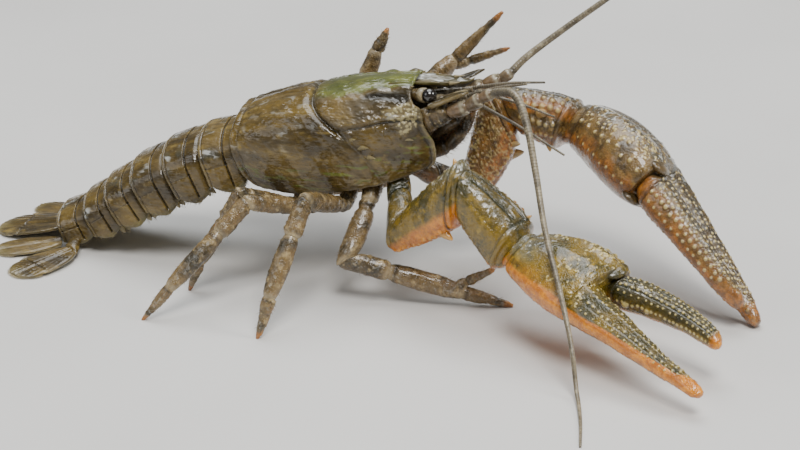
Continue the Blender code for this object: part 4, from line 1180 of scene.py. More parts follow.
            # Painted highlight: one side of each joint is marked for painted highlight specks.
            skin.tube(grid, {"dark": 0.55 + 0.4 * hump(u, 0.96, 0.04),
                "wet": 0.6 * step(0.0, 0.9, -sign * np.cos(v))}, (0.4, 0.5))
            place, normal = limb.seat(rng.uniform(0.05, 1.0, 90), rng.uniform(0.0, TAU, 90))
            tips = place + normal * rng.uniform(0.6, 1.4, (90, 1)) + limb.axes()[0] * 0.7
            tips[:, 1] = np.where(sign * tips[:, 1] < sign * CENTRE_SHIFT[1], CENTRE_SHIFT[1], tips[:, 1])
            skin.hairs(place - normal * 0.1, tips, 0.05, warm=0.5)
        skin.build(self.finishes.leg, Slot.LEG)


@dataclass
class Feeler:
    """A long ringed feeler along its middle line."""

    finishes: Finishes
    side: Side
    line: Table
    halves: Row = (1.0, 1.0, 0.98, 0.92, 0.82, 0.72, 0.64, 0.58, 0.52, 0.46, 0.38, 0.28)
    ring: float = 0.75
    ring_steps: int = 6
    smoothing: int = 20
    columns: int = 18
    stout: Table = ((0.0, 4.6, 1.95), (4.6, 8.4, 1.7), (8.4, 11.6, 1.4))

    def build(self) -> None:
        """Builds the feeler.

        Three stout joints swell as radius * (0.72 + 0.28 sin(pi x^1.6)^0.5) at share x
        of their length; after them come rings of radius half * (1 + 0.12 saw), which
        drop by a tenth of half at the end of each ring.
        """
        line = placed(self.line)
        knots = np.concatenate([[0.0], np.cumsum(np.linalg.norm(np.diff(line, axis=0), axis=1))])
        steps = int(knots[-1] / self.ring * self.ring_steps)
        at = np.linspace(0.0, knots[-1], steps)
        path = np.stack([flow(at, knots, line[:, i]) for i in range(3)], axis=-1)
        reach = self.smoothing
        kernel = np.hanning(2 * reach + 1)
        kernel = kernel / kernel.sum()
        padded = np.concatenate([2 * path[:1] - path[reach:0:-1], path,
            2 * path[-1:] - path[-2:-2 - reach:-1]])
        path = np.stack([np.convolve(padded[:, i], kernel, "valid") for i in range(3)], axis=-1)
        along = unit(np.gradient(path, axis=0))
        across = unit(np.cross(along, np.array((0.25, 1.0, 0.1))))
        other = np.cross(along, across)
        saw = (at / self.ring) % 1.0
        thick = flow(at, knots, self.halves) * (1.0 + 0.12 * saw - 0.1 * (saw > 0.9))
        joint, rim = np.zeros_like(at), np.zeros_like(at)
        for first, last, radius in self.stout:
            x = (at - first) / (last - first)
            inside = (x >= 0.0) & (x < 1.0)
            x = np.clip(x, 0.0, 1.0)
            thick = np.where(inside, radius * (0.72 + 0.28 * np.sin(math.pi * x ** 1.6) ** 0.5), thick)
            joint, rim = joint + inside, rim + inside * hump(x, 0.8, 0.1)
        c, s = np.cos(turns(self.columns)), np.sin(turns(self.columns))
        circle = c[..., None] * across[:, None] + s[..., None] * other[:, None]
        grid = above(0.02, path[:, None] + thick[:, None, None] * circle)
        saw, joint, rim = (values[:, None] for values in (saw, joint, rim))
        shade = joint * (1.0 - rim)
        skin = Skin(f"feeler_{self.side.tag}")
        # Painted highlight: one side of the stout joints is marked for painted highlight specks.
        skin.tube(grid, {"dark": 0.75 * (1.0 - step(0.0, 0.25, saw)) * (joint < 0.5) + 0.42 * shade,
            "warm": 0.55 * shade, "pale": 0.25 * step(0.3, 0.9, c) + 0.5 * rim,
            "wet": 0.5 * joint * step(0.2, 0.9, -c)}, (0.5, 0.3), steps=3)
        spots = [int(np.searchsorted(at, last - 0.7)) for _, last, _ in self.stout[:2]]
        for turn in (0.6, 2.2, 4.0):
            out = np.cos(turn) * across[spots] + np.sin(turn) * other[spots]
            base = path[spots] + out * thick[spots][:, None] * 0.8
            skin.cones(base, base + out * 0.8 + along[spots] * 1.1, 0.42, columns=12, masks={"pale": 0.6})
        skin.build(self.finishes.feeler, Slot.FEELER, f"antenna_root_{self.side.tag}",
            f"antenna_whip_{self.side.tag}")


KEEL = ((18.6, -18.4, -21.6, 3.4, 2.4), (20.0, -18.9, -24.6, 4.2, 2.8), (25.0, -20.3, -26.6, 5.4, 3.2),
    (33.0, -20.6, -27.0, 6.2, 3.4), (41.0, -20.2, -26.6, 6.2, 3.2), (47.0, -18.9, -24.8, 5.2, 2.8),
    (50.5, -17.7, -21.4, 4.2, 2.4))
LIMB_STATION = {1: 21.6, 2: 27.2, 3: 33.0, 4: 38.6, 5: 44.0}


def keel_flank(back: float, sign: float) -> Tuple[Array, Array]:
    """A point on the sloping flank of the keel, before the centring shift, and the way that it faces.

    Args:
        back: Station behind the beak's tip.
        sign: Side, 1 or -1.

    Returns:
        The point, and the unit vector that it faces.
    """
    table = np.array(KEEL)

    def edges(at: float) -> Tuple[Array, Array]:
        """Upper and lower edge of the flank at a station."""
        top, low, wide, narrow = (np.interp(at, table[:, 0], table[:, i]) for i in (1, 2, 3, 4))
        return (spot(at, sign * wide, top - 1.0), spot(at, sign * narrow, low))

    high, low = edges(back)
    along = np.add(*edges(back - 1.2)) - np.add(*edges(back + 1.2))
    normal = unit(np.cross(along, high - low)) * -sign
    return (high + low) / 2.0 + normal * HALF_GAP, normal


@dataclass
class Keel:
    """The breast plates between the legs, stepped where one plate meets the next."""

    finishes: Finishes

    def build(self) -> None:
        """Builds the keel: a rounded trough section whose depth dips between the plates."""
        table = np.array(KEEL)
        back = np.linspace(table[0, 0], table[-1, 0], 150)[:, None]
        top, low, wide, narrow = (flow(back, table[:, 0], table[:, i]) for i in (1, 2, 3, 4))
        angle = turns(72)
        c, s = np.cos(angle), np.sin(angle)
        x, y = squared(c, 0.6), squared(s, 0.6)
        w = narrow + (wide - narrow) * step(-1.0, 0.6, y)
        seams = sum(hump(back, at, 0.5) for at in (24.4, 30.1, 35.8, 41.3, 46.8))
        groove = hump(c, 0.0, 0.12) * (s < 0.0)
        depth = (top + low) / 2.0 + (top - low) / 2.0 * y + (0.5 * seams + 0.45 * groove) * (s < 0.0)
        # Painted shade: the seams between the plates and the middle groove are darkened.
        skin = Skin("breast_plates_skin")
        skin.tube(on_body(back, w * x * (1.0 - 0.06 * seams), depth),
            {"dark": 0.5 * np.clip(seams + groove, 0.0, 1.0)})
        skin.build(self.finishes.under, Slot.UNDER, "breast_plates")


CLAW = ((0.0, 4.0, 4.0, 3.8), (0.02, 4.9, 5.2, 4.7), (0.07, 6.0, 7.4, 5.7), (0.14, 7.0, 10.2, 6.6),
    (0.22, 7.5, 12.5, 7.2), (0.3, 7.5, 13.7, 7.3), (0.36, 7.3, 13.6, 6.9), (0.4, 7.0, 12.9, 6.2),
    (0.412, 6.8, 4.4, 5.3), (0.5, 5.6, 3.7, 4.3), (0.62, 4.1, 3.1, 3.6), (0.74, 2.9, 2.6, 3.0),
    (0.85, 1.8, 2.3, 2.4), (0.93, 1.1, 2.4, 2.0), (0.98, 0.7, 2.7, 1.5), (1.0, 0.0, 2.3, 0.9))
FINGER = ((0.0, 3.1, 3.3, 0.0), (0.04, 3.6, 3.9, 0.1), (0.15, 3.7, 3.9, 0.6), (0.3, 3.4, 3.5, 1.2),
    (0.48, 3.0, 3.1, 1.4), (0.66, 2.6, 2.7, 1.1), (0.82, 2.2, 2.3, 0.5), (0.93, 1.9, 1.9, -0.3),
    (0.98, 1.5, 1.4, -0.8), (1.0, 0.9, 0.8, -1.1))
CLAW_LENGTH = 60.0
GAPE_START = 0.405


def claw_arch(u: Array) -> Array:
    """How far the middle line of a claw stands above the line from wrist to tip: sin(pi u^0.66)."""
    return np.sin(math.pi * np.asarray(u, float) ** 0.66)


@dataclass
class GreatClaw:
    """One great claw limb: four lengths, the palm with its fixed finger, and the moving finger.

    The claw tables hold for a claw of CLAW_LENGTH; ends are the places of the moving
    finger's root and tip, along and beside the line from wrist to tip, in that claw.
    """

    finishes: Finishes
    side: Side
    joints: Table
    ups: Table
    ends: Tuple[Tuple[float, float], Tuple[float, float]]
    arch: float

    def __post_init__(self) -> None:
        """Works out the joints and the planes between the lengths."""
        self.sign = -self.side.value
        root, flank = keel_flank(LIMB_STATION[1], self.side.value)
        self.chain = [root, *(np.asarray(p, float) for p in self.joints)]
        self.wrist, self.tip = self.chain[3:]
        self.planes = [flank, *(bend(*self.chain[i:i + 3]) for i in range(3))]
        self.k = float(np.linalg.norm(self.tip - self.wrist)) / CLAW_LENGTH
        self.far = self.side is Side.LEFT
        self.finish = self.finishes.far_claw if self.far else self.finishes.claw

    def build(self) -> None:
        """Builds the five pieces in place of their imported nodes."""
        self.ischium()
        self.merus()
        self.carpus()
        self.palm()
        self.finger()

    def limb(self, i: int, rows: Table, power: float = 2.3) -> Limb:
        """Length i of the chain from keel to wrist."""
        return Limb(*self.chain[i:i + 2], self.ups[i], rows, *self.planes[i:i + 2], power, self.sign)

    def skin(self, name: str) -> Skin:
        """An empty skin for that piece of this claw."""
        return Skin.over(f"claw_{name}", self.side.tag)

    def knobs(self, limb: Limb, rows: Table, seed: int) -> Tuple[Array, Array, Array]:
        """Places for rows of tubercles.

        Args:
            limb: The length that carries them.
            rows: For each row its first and last share of the length, its angle, how
                many, their radius and their height.
            seed: Picks the slight disorder.

        Returns:
            Centres, radii and heights.
        """
        rng = np.random.default_rng(seed)
        count = [r[3] for r in rows]
        u = np.concatenate([np.linspace(r[0], r[1], r[3]) for r in rows])
        v, radius, height = (np.repeat([r[i] for r in rows], count) for i in (2, 4, 5))
        v = v + rng.normal(0.0, 0.035, len(u))
        u = u + rng.normal(0.0, 0.004, len(u))
        size = rng.uniform(0.82, 1.15, len(u)) * self.k
        return limb.points(np.clip(u, 0.0, 1.0), v), radius * size, height * size

    def scatter(self, limb: Limb, low: Row, high: Row, count: int, radius: float, height: float,
            seed: int) -> Tuple[Array, Array, Array]:
        """Random small tubercles between two corners given as (share, angle).

        Args:
            limb: The length that they stand on.
            low: First corner.
            high: Corner across from it.
            count: Number of tubercles.
            radius: Middle radius.
            height: Middle height.
            seed: Seed of the random draws.

        Returns:
            Seeds, radii and heights.
        """
        rng = np.random.default_rng(seed)
        size = rng.uniform(0.7, 1.25, count) * self.k
        u, v = (rng.uniform(low[i], high[i], count) for i in (0, 1))
        return limb.points(u, v), radius * size, height * size

    def ischium(self) -> None:
        """The first length, from the keel to the knee."""
        rows = ((0.0, 2.1, 2.0), (0.06, 2.5, 2.4), (0.35, 2.8, 2.7), (0.42, 2.4, 2.3), (0.5, 2.9, 2.9),
            (0.85, 3.4, 3.4), (0.96, 3.5, 3.5), (1.0, 3.1, 3.1))
        limb = self.limb(0, rows, 2.0)
        grid, u, v = limb.grid(90, 60)
        knobs = self.knobs(limb, ((0.5, 0.92, 4.3, 7, 0.7, 0.45), (0.5, 0.92, 4.9, 7, 0.6, 0.35)), 20)
        lift, spots = bumps(grid, *knobs)
        lift += 0.1 * ripple(grid, 5.0, 21)
        s = np.sin(v)
        skin = self.skin("ischium")
        # Painted highlight: the top is marked for painted highlight specks.
        skin.tube(raised(grid, lift), {"knob": spots, "dark": 0.7 * hump(u, 0.42, 0.04) + 0.35,
            "wet": 0.5 * (s > 0.3), "warm": 0.45 * (s < -0.2)}, (0.6, 1.0))
        skin.build(self.finish, Slot.UNDER)

    def merus(self) -> None:
        """The second length: rows of knobs below and above, and spines near its far end."""
        rows = ((0.0, 2.7, 2.8), (0.05, 3.5, 3.7), (0.2, 3.9, 4.2), (0.35, 4.3, 4.8), (0.5, 4.6, 5.3),
            (0.65, 4.9, 5.7), (0.8, 5.0, 6.0), (0.93, 5.0, 6.0), (1.0, 4.2, 5.0))
        limb = self.limb(1, rows)
        grid, u, v = limb.grid(130, 110)
        places = self.knobs(limb, ((0.12, 0.8, 4.1, 9, 0.75, 0.55), (0.12, 0.8, 5.3, 9, 0.75, 0.55),
            (0.45, 0.9, 1.1, 6, 0.6, 0.3), (0.45, 0.9, 2.0, 6, 0.6, 0.3)), 22)
        fine = self.scatter(limb, (0.1, 0.0), (0.95, TAU), 330, 0.42, 0.13, 23)
        beads = self.scatter(limb, (0.1, -0.9), (0.95, 1.1), 300 if self.far else 120, 0.44, 0.28, 24)
        lift, _ = bumps(grid, *joined(places, fine, beads))
        _, cream = bumps(grid, *self.tall(joined(places, fine, beads)))
        rim_groove = hump(u, 0.895, 0.018)
        lift += 0.35 * hump(u, 0.955, 0.02) - 0.4 * rim_groove + 0.16 * ripple(grid, 7.0, 25)
        s, c = np.sin(v), np.cos(v)
        red = 0.45 * step(0.25, 0.85, c) * (1.0 - step(0.6, 0.95, u))
        if self.far:
            red = 0.38 * step(-0.6, 0.6, c)
        # Painted light: the top of the far end is lightened and marked for painted highlight specks, and the
        # groove near the far end is darkened as painted shade; the root end is darker too.
        masks = {"knob": (0.66 if self.far else 0.55) * cream,
            "warm": np.maximum(0.95 * (1.0 - step(-0.6, 0.05, s)), red),
            "pale": 0.45 * step(0.55, 0.95, s) * step(0.55, 0.9, u),
            "wet": 0.9 * step(0.35, 0.8, s) * step(0.35, 0.9, u),
            "dark": 0.75 * rim_groove + 0.6 * (u < 0.04)}
        skin = self.skin("merus")
        skin.tube(raised(grid, lift), masks, (0.8, 1.6))
        self.spines(skin, limb, ((0.8, 4.45, 1.35, 2.2, 0.75), (0.9, 5.2, 0.9, 1.5, 0.55),
            (0.86, 1.55, 0.8, 1.2, 0.5), (0.84, 0.7, 0.6, 0.9, 0.45)))
        skin.build(self.finish, Slot.CLAW)

    def tall(self, knobs: Sequence[Array], least: float = 0.24) -> List[Array]:
        """Those of the tubercles that are taller than the least."""
        return [values[knobs[2] > least] for values in knobs]

    def spines(self, skin: Skin, limb: Limb, rows: Table) -> None:
        """Adds forward-leaning spines.

        Args:
            skin: The piece that takes them.
            limb: The length that carries them.
            rows: For each its share, angle, radius, height and how far it leans forward.
        """
        u, v, radius, height, forward = np.array(rows).T
        place, normal = limb.seat(u, v)
        tips = place + normal * height[:, None] + limb.axes()[0] * (forward * height)[:, None]
        skin.cones(place - normal * 0.6, tips, radius * self.k, columns=18, rows=12, blunt=0.6,
            masks={"knob": 0.55, "warm": 0.9})

    def carpus(self) -> None:
        """The wrist length: three grooves on top, rows of knobs on the inner side, and spines."""
        rows = ((0.0, 3.6, 3.7), (0.07, 4.6, 4.8), (0.22, 5.3, 5.3, 0.2), (0.38, 5.9, 5.7, 0.4),
            (0.55, 6.5, 6.0, 0.5), (0.72, 6.9, 6.2, 0.6), (0.92, 6.7, 6.2, 0.4), (1.0, 5.4, 5.2))
        limb = self.limb(2, rows)
        grid, u, v = limb.grid(130, 120)
        places = self.knobs(limb, ((0.15, 0.85, 0.62, 7, 0.8, 0.45), (0.2, 0.85, 0.25, 7, 0.95, 0.6),
            (0.25, 0.85, -0.2, 6, 0.85, 0.45), (0.3, 0.88, -0.7, 6, 0.7, 0.35),
            (0.2, 0.9, 0.95, 8, 0.5, 0.25)), 26)
        fine = self.scatter(limb, (0.08, 0.0), (0.92, TAU), 260, 0.42, 0.11, 27)
        lift, _ = bumps(grid, *joined(places, fine))
        _, cream = bumps(grid, *places)
        s = np.sin(v)
        first = hump(v, 1.32 - 0.12 * u, 0.1) * window(u, 0.12, 0.86, 0.1)
        second = hump(v, 1.72 - 0.05 * u, 0.07) * window(u, 0.25, 0.8, 0.1)
        third = hump(v, 2.45 + 0.1 * u, 0.09) * window(u, 0.1, 0.7, 0.15)
        rim_groove = hump(u, 0.9, 0.018)
        lift += 0.18 * hump(u, 0.955, 0.025) - 0.22 * rim_groove - 0.75 * first - 0.4 * second
        lift += 0.15 * ripple(grid, 6.0, 28) - 0.25 * third
        # Painted light: the three grooves on top and the rim groove are darkened as painted shade, and bands
        # along the top between them, on the far claw the whole top, are marked for painted highlight specks.
        groove = np.clip(first + 0.8 * second + 0.5 * third + 0.6 * rim_groove, 0.0, 1.0)
        highlight_stripes = hump(v, 2.05, 0.2) + 0.8 * hump(v, 1.52, 0.1) + 0.7 * hump(v, 1.05, 0.12)
        wet = highlight_stripes * window(u, 0.02, 0.92, 0.1) * (1.0 - groove)
        top = window(v, 0.85, 1.9, 0.2) * window(u, 0.1, 0.9, 0.1)
        masks = {"knob": 0.7 * cream, "warm": 0.75 * hump(v, 0.3, 0.55) + 0.8 * (1.0 - step(-0.8, -0.3, s)),
            "wet": np.maximum(wet, 0.9 * step(0.2, 0.8, s) * self.far),
            "dark": 0.9 * groove + 0.6 * (u < 0.05) + 0.35 * top}
        skin = self.skin("carpus")
        skin.tube(raised(grid, lift), masks, (1.6, 1.6))
        self.spines(skin, limb, ((0.62, 0.05, 1.3, 2.4, 0.8), (0.8, -1.35, 0.9, 1.4, 0.6),
            (0.36, 0.2, 0.8, 1.2, 0.7), (0.86, 0.9, 0.6, 0.8, 0.5)))
        skin.build(self.finish, Slot.CLAW)

    def palm(self) -> None:
        """The palm with its fixed finger.

        The section's reach on either side and its thickness are read from the claw
        table; the middle line is arched above the line from wrist to tip.
        """
        share, lateral, mesial, thick = np.array(CLAW).T
        lateral, mesial, thick = (self.k * size for size in (lateral, mesial, thick))
        profile = np.stack([share, np.maximum((lateral + mesial) / 2.0, 0.3), thick, (mesial - lateral) / 2.0,
            self.arch * claw_arch(share)], axis=1)
        limb = Limb(self.wrist, self.tip, self.ups[3], profile, start=self.planes[3], power=2.3,
            flip=self.sign, thin=0.35, fade=0.3)
        grid, u, v = limb.grid(330, 190, dense=(GAPE_START,))
        lift, cream = bumps(grid, *self.palm_knobs(limb))
        fine = self.scatter(limb, (0.03, 0.0), (0.95, TAU), 420, 0.4, 0.07, 34)
        soft, _ = bumps(grid, *fine)
        c, s = np.cos(v), np.sin(v)
        ridge = hump(v, 0.95, 0.13) * window(u, 0.05, 0.36, 0.04)
        valley = hump(v, 1.3, 0.16) * window(u, 0.1, 0.36, 0.05)
        keels = hump(v, 1.5, 0.1) * window(u, 0.45, 0.92, 0.05)
        furrow = (hump(v, 1.05, 0.07) + hump(v, 1.98, 0.08)) * window(u, 0.46, 0.88, 0.05)
        lift = lift + soft * (lift < 0.02) + 0.3 * ridge - 0.25 * valley + 0.2 * keels - 0.14 * furrow
        lift += 0.16 * ripple(grid, 8.0, 36) - 0.35 * hump(u, 0.035, 0.01) + 0.2 * hump(u, 0.012, 0.01)
        tip, past_palm, top = step(0.88, 0.97, u), step(0.34, 0.46, u), step(-0.2, 0.3, s)
        edge = flow(u, (0.0, 0.15, 0.4, 0.7, 0.88, 1.0), (0.93, 0.88, 0.8, 0.62, 0.3, -1.0))
        band = step(0.0, 0.14, -c - edge)
        below = 1.0 - step(-0.6, -0.05, s + 0.15 * ripple(grid, 5.0, 37))
        shade = past_palm * top * (1.0 - band) * (1.0 - tip) * step(0.3, 0.42, u)
        # Painted highlight: the top near the wrist, the far claw's top and the ridge are marked for painted
        # highlight specks.
        back_wet_highlight = window(v, 0.85, 2.0, 0.3) * window(u, 0.0, 0.12, 0.08)
        top_wet_highlight = 0.95 * step(0.45, 0.9, s) * (1.0 - step(0.5, 0.8, u)) * self.far
        ridge_wet_highlight = (0.7 if self.far else 0.25) * hump(v, 0.95, 0.16) * window(u, 0.12, 0.4, 0.06)
        # Painted light: the pale strip over the top near the wrist is painted highlight, and the furrows, the
        # valley and the groove round the root are darkened as painted shade.
        masks = {
            "knob": cream * 0.95 * (1.0 - 0.5 * tip),
            "warm": band * 0.98 * (s > -0.3) + below * 0.72 + 0.6 * tip
                + 0.34 * step(1.75, 2.7, v) * (1.0 - past_palm),
            "dark": np.minimum(0.5 * shade * (1.0 - 0.6 * hump(v, 2.1, 0.35)) + 0.5 * hump(u, 0.035, 0.012)
                + 0.3 * furrow + 0.25 * valley, 0.85),
            "pale": 0.3 * window(v, 1.2, 2.2, 0.3) * window(u, 0.0, 0.1, 0.08)
                + 0.85 * step(0.975, 0.995, u),
            "wet": back_wet_highlight + top_wet_highlight + ridge_wet_highlight,
        }
        skin = self.skin("palm")
        skin.tube(raised(grid, lift), masks, (1.4, 0.5))
        direction, across, up = limb.axes()
        k = self.k
        hinge = placed(self.hinge_line()[0]) - direction * 1.3 * k
        for level in BOTH_SIDES:
            skin.ball(hinge + up * level * 4.3 * k, (direction * 2.3 * k, across * 3.3 * k, up * 1.1 * k),
                {"dark": 0.45, "warm": 0.15})
        self.spines(skin, limb, ((0.1, 0.1, 1.0, 1.0, 0.4),))
        skin.build(self.finish, Slot.CLAW)

    def palm_knobs(self, limb: Limb) -> List[Array]:
        """The knobs of the palm's edge, its dots and the teeth along the gape.

        Args:
            limb: The palm.

        Returns:
            Seeds, radii and heights.
        """
        size = 0.6 if self.far else 1.0
        margin = self.knobs(limb, ((0.06, 0.375, 0.12, 9, 1.1 * size, 0.75 * size),
            (0.08, 0.36, 0.5, 8, 0.95 * size, 0.5 * size),
            (0.08, 0.36, -0.38, 8, 0.8 * size, 0.4 * size)), 30)
        dots = self.knobs(limb, ((0.43, 0.95, 0.8, 21, 0.46, 0.22), (0.41, 0.95, 1.12, 23, 0.44, 0.22),
            (0.38, 0.93, 1.48, 24, 0.42, 0.2), (0.36, 0.9, 1.9, 22, 0.44, 0.2),
            (0.35, 0.86, 2.3, 19, 0.38, 0.16), (0.44, 0.94, -0.9, 17, 0.44, 0.18),
            (0.44, 0.94, -1.5, 16, 0.4, 0.14)), 31)
        patch = self.scatter(limb, (0.26, 0.6), (0.44, 2.4), 110, 0.38, 0.16, 32)
        slope = self.scatter(limb, (0.05, 0.3), (0.36, 1.2), 80, 0.42, 0.16, 33)
        teeth = self.knobs(limb, ((0.455, 0.955, 0.06, 19, 0.72, 0.48), (0.47, 0.66, 0.0, 3, 1.2, 0.75)), 35)
        return joined(margin, dots, patch, slope, teeth)

    def hinge_line(self) -> List[Array]:
        """Root and tip of the moving finger, before the centring shift.

        Returns:
            The two points.
        """
        direction, across, up = frame_for(self.tip - self.wrist, self.ups[3])
        return [self.wrist + (direction * reach + across * self.sign * off) * self.k
            + up * self.arch * claw_arch(reach / CLAW_LENGTH) for reach, off in self.ends]

    def finger(self) -> None:
        """The moving finger: dots above and below, knobs along its outer edge, teeth along the gape."""
        direction, _, up = frame_for(self.tip - self.wrist, self.ups[3])
        ends = self.hinge_line()
        root, tip = (reach / CLAW_LENGTH for reach, _ in self.ends)
        extra = self.arch * (claw_arch((root + tip) / 2.0) - (claw_arch(root) + claw_arch(tip)) / 2.0)
        share, *sizes = np.array(FINGER).T
        bow = extra * np.sin(math.pi * share)
        profile = np.stack([share, *(self.k * size for size in sizes), bow], axis=1)
        limb = Limb(ends[0], ends[1], up, profile, start=direction, power=2.2, flip=self.sign)
        grid, u, v = limb.grid(260, 150)
        rows = self.knobs(limb, ((0.05, 0.93, 0.85, 18, 0.44, 0.22), (0.04, 0.93, 1.25, 20, 0.46, 0.24),
            (0.05, 0.93, 1.65, 20, 0.42, 0.22), (0.06, 0.92, 2.05, 18, 0.46, 0.22),
            (0.08, 0.9, 2.5, 16, 0.38, 0.16), (0.08, 0.9, -1.2, 16, 0.44, 0.18),
            (0.08, 0.9, -1.9, 15, 0.4, 0.14)), 40)
        edge = self.knobs(limb, ((0.06, 0.8, 0.15, 15, 0.6, 0.38), (0.1, 0.75, 0.48, 14, 0.46, 0.24),
            (0.1, 0.75, -0.3, 12, 0.5, 0.24)), 41)
        teeth = self.knobs(limb, ((0.1, 0.93, 3.1, 22, 0.52, 0.34), (0.16, 0.34, 3.14, 2, 0.95, 0.6)), 42)
        fine = self.scatter(limb, (0.03, 0.0), (0.95, TAU), 260, 0.38, 0.06, 43)
        lift, cream = bumps(grid, *joined(rows, edge, teeth))
        soft, _ = bumps(grid, *fine)
        keel = hump(v, 1.7, 0.1) * window(u, 0.08, 0.88, 0.05)
        furrow = (hump(v, 1.2, 0.07) + hump(v, 2.18, 0.08)) * window(u, 0.06, 0.88, 0.05)
        lift = lift + soft * (lift < 0.02) + 0.18 * keel - 0.14 * furrow + 0.1 * ripple(grid, 6.0, 44)
        lift = lift - 0.45 * hump(u, 0.045, 0.012)
        c, s = np.cos(v), np.sin(v)
        horn = step(0.86, 0.97, u)
        shade = step(-0.1, 0.4, s) * (1.0 - horn) * (1.0 - step(0.35, 0.85, c))
        # Painted light: the furrows and the groove round the root are darkened as painted shade, and on the
        # far claw the top is marked for painted highlight specks.
        masks = {
            "knob": cream * (1.0 - 0.6 * horn),
            "warm": 0.45 * step(0.55, 0.95, c) + 0.75 * (1.0 - step(-0.75, -0.2, s)) + 0.75 * horn
                + 0.35 * (u < 0.05),
            "dark": np.minimum((0.45 if self.far else 0.74) * shade + 0.3 * furrow
                + 0.6 * hump(u, 0.045, 0.015), 0.9),
            "pale": 0.85 * step(0.965, 0.99, u),
            "wet": 0.8 * step(0.2, 0.8, s) * (1.0 - step(0.6, 0.9, u)) * self.far,
        }
        skin = self.skin("finger")
        skin.tube(raised(grid, lift), masks, (2.2, 0.4))
        skin.build(self.finish, Slot.CLAW)


@dataclass
class WalkingLeg:
    """One walking leg in two pieces: hip and thigh, then shank, foot and claw."""

    finishes: Finishes
    side: Side
    number: int
    knee: Triple
    middle: Triple
    foot: Triple
    half: Tuple[float, float]
    raised: bool = False
    finger: Optional[Tuple[Triple, Triple]] = None
    horn_from: float = 0.72

    def build(self) -> None:
        """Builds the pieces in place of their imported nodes."""
        sign, (h, w) = self.side.value, self.half
        knee, middle, tip = (np.asarray(p, float) for p in (self.knee, self.middle, self.foot))
        root, flank = keel_flank(LIMB_STATION[self.number], sign)
        hip = root + np.array((0.12 * (knee[0] - root[0]), 4.6 * sign, -2.6))
        plane = bend(root, knee, middle)
        away = (0.0, sign, 0.3)
        wrist = knee + (middle - knee) * 0.36

        def scaled(a: Array, b: Array, rows: Table, wide: float, tall: float, **ends: object) -> Limb:
            """A length whose rows are given in shares of two half sizes."""
            return Limb(a, b, away, [(t, wide * x, tall * y) for t, x, y in rows], **ends)

        thigh = Skin.over(f"leg{self.number}_thigh", self.side.tag)
        self.length(thigh, scaled(root, hip, ((0.0, 0.75, 0.85), (0.15, 0.95, 1.05), (0.6, 1.05, 1.1),
            (1.0, 0.95, 0.95)), h, h, start=flank), 40, 30, 50, (0.3, 1.2))
        self.length(thigh, scaled(hip, knee, ((0.0, 0.7, 0.8), (0.05, 0.85, 0.9), (0.14, 0.72, 0.8),
            (0.22, 0.95, 1.0), (0.55, 1.1, 1.06), (0.92, 1.0, 1.0), (1.0, 0.86, 0.86)), w, h,
            end=plane), 90, 36, 51, (0.9, 0.8))
        thigh.build(self.finishes.leg, Slot.LEG)
        shank = Skin.over(f"leg{self.number}_shank", self.side.tag)
        self.length(shank, scaled(knee, wrist, ((0.0, 0.75, 0.75), (0.12, 0.98, 1.0), (0.6, 1.0, 1.0),
            (0.9, 1.06, 1.04), (1.0, 0.9, 0.9)), w, h, start=plane), 44, 32, 52, (1.0, 0.7))
        self.length(shank, scaled(wrist, middle, ((0.0, 0.72, 0.72), (0.12, 0.96, 0.96), (0.6, 1.03, 1.0),
            (0.92, 0.84, 0.84), (1.0, 0.72, 0.72)), w, h), 70, 32, 53, (0.9, 0.7))
        claw = scaled(middle, tip, ((0.0, 0.62, 0.62), (0.15, 0.7, 0.7), (0.55, 0.48, 0.48),
            (0.9, 0.26, 0.28), (1.0, 0.17, 0.17)), w, h, end=None if self.raised else -VERTICAL,
            gaps=(0.0, 0.02))
        self.length(shank, claw, 60, 24, 54, (0.8, 0.0), self.horn_from, 46)
        if self.finger is not None:
            base, end = self.finger
            fork = Limb(middle + (middle - tip) * 0.12, base, away, ((0.0, 1.2, 1.1), (0.5, 1.5, 1.4),
                (0.85, 1.35, 1.25), (1.0, 1.1, 1.0)), end=np.subtract(end, base), gaps=(0.0, HALF_GAP),
                fade=0.5)
            self.length(shank, fork, 24, 26, 56, (0.5, 0.3))
            finger = Skin.over(f"leg{self.number}_finger", self.side.tag)
            self.length(finger, Limb(base, end, away, ((0.0, 0.95, 0.9), (0.1, 1.15, 1.0), (0.6, 0.8, 0.75),
                (0.93, 0.4, 0.4), (1.0, 0.22, 0.22))), 50, 22, 55, (0.9, 0.1), self.horn_from, 40)
        if self.number == 3:
            axis, across, _ = frame_for(tip - middle, away)
            shut = Limb(middle + axis * 0.5 + across * 0.9, tip - axis * 0.9 + across * 0.55, away,
                ((0.0, 0.9, 0.9), (0.5, 0.6, 0.6), (1.0, 0.2, 0.2)), gaps=(0.0, 0.0))
            self.length(shank, shut, 30, 16, 57, (0.3, 0.0), self.horn_from)
        shank.build(self.finishes.leg, Slot.LEG)
        if self.finger is not None:
            finger.build(self.finishes.leg, Slot.LEG)

    def length(self, skin: Skin, limb: Limb, rows: int, columns: int, seed: int, domes: Tuple[float, float],
            tip_from: float = 2.0, hairs: int = 26) -> None:
        """Adds one length with fine grains, darker joints and, near the foot, hairs and a horny tip.

        Args:
            skin: The piece that takes it.
            limb: The length.
            rows: Steps along.
            columns: Steps round.
            seed: Picks grains and hairs.
            domes: Heights of the rounded ends.
            tip_from: Share of the length where the horny tip starts.
            hairs: How many hairs.
        """
        grid, u, v = limb.grid(rows, columns)
        rng = np.random.default_rng(seed + self.number * 10)
        seeds = limb.points(rng.uniform(0.08, 0.92, 80), rng.uniform(0.0, TAU, 80))
        lift, spots = bumps(grid, seeds, rng.uniform(0.3, 0.6, 80), rng.uniform(0.06, 0.18, 80))
        lift = (lift + 0.09 * ripple(grid, 3.0, seed)) * window(u, 0.05, 0.95, 0.05)
        horn = step(tip_from, tip_from + 0.2, u)
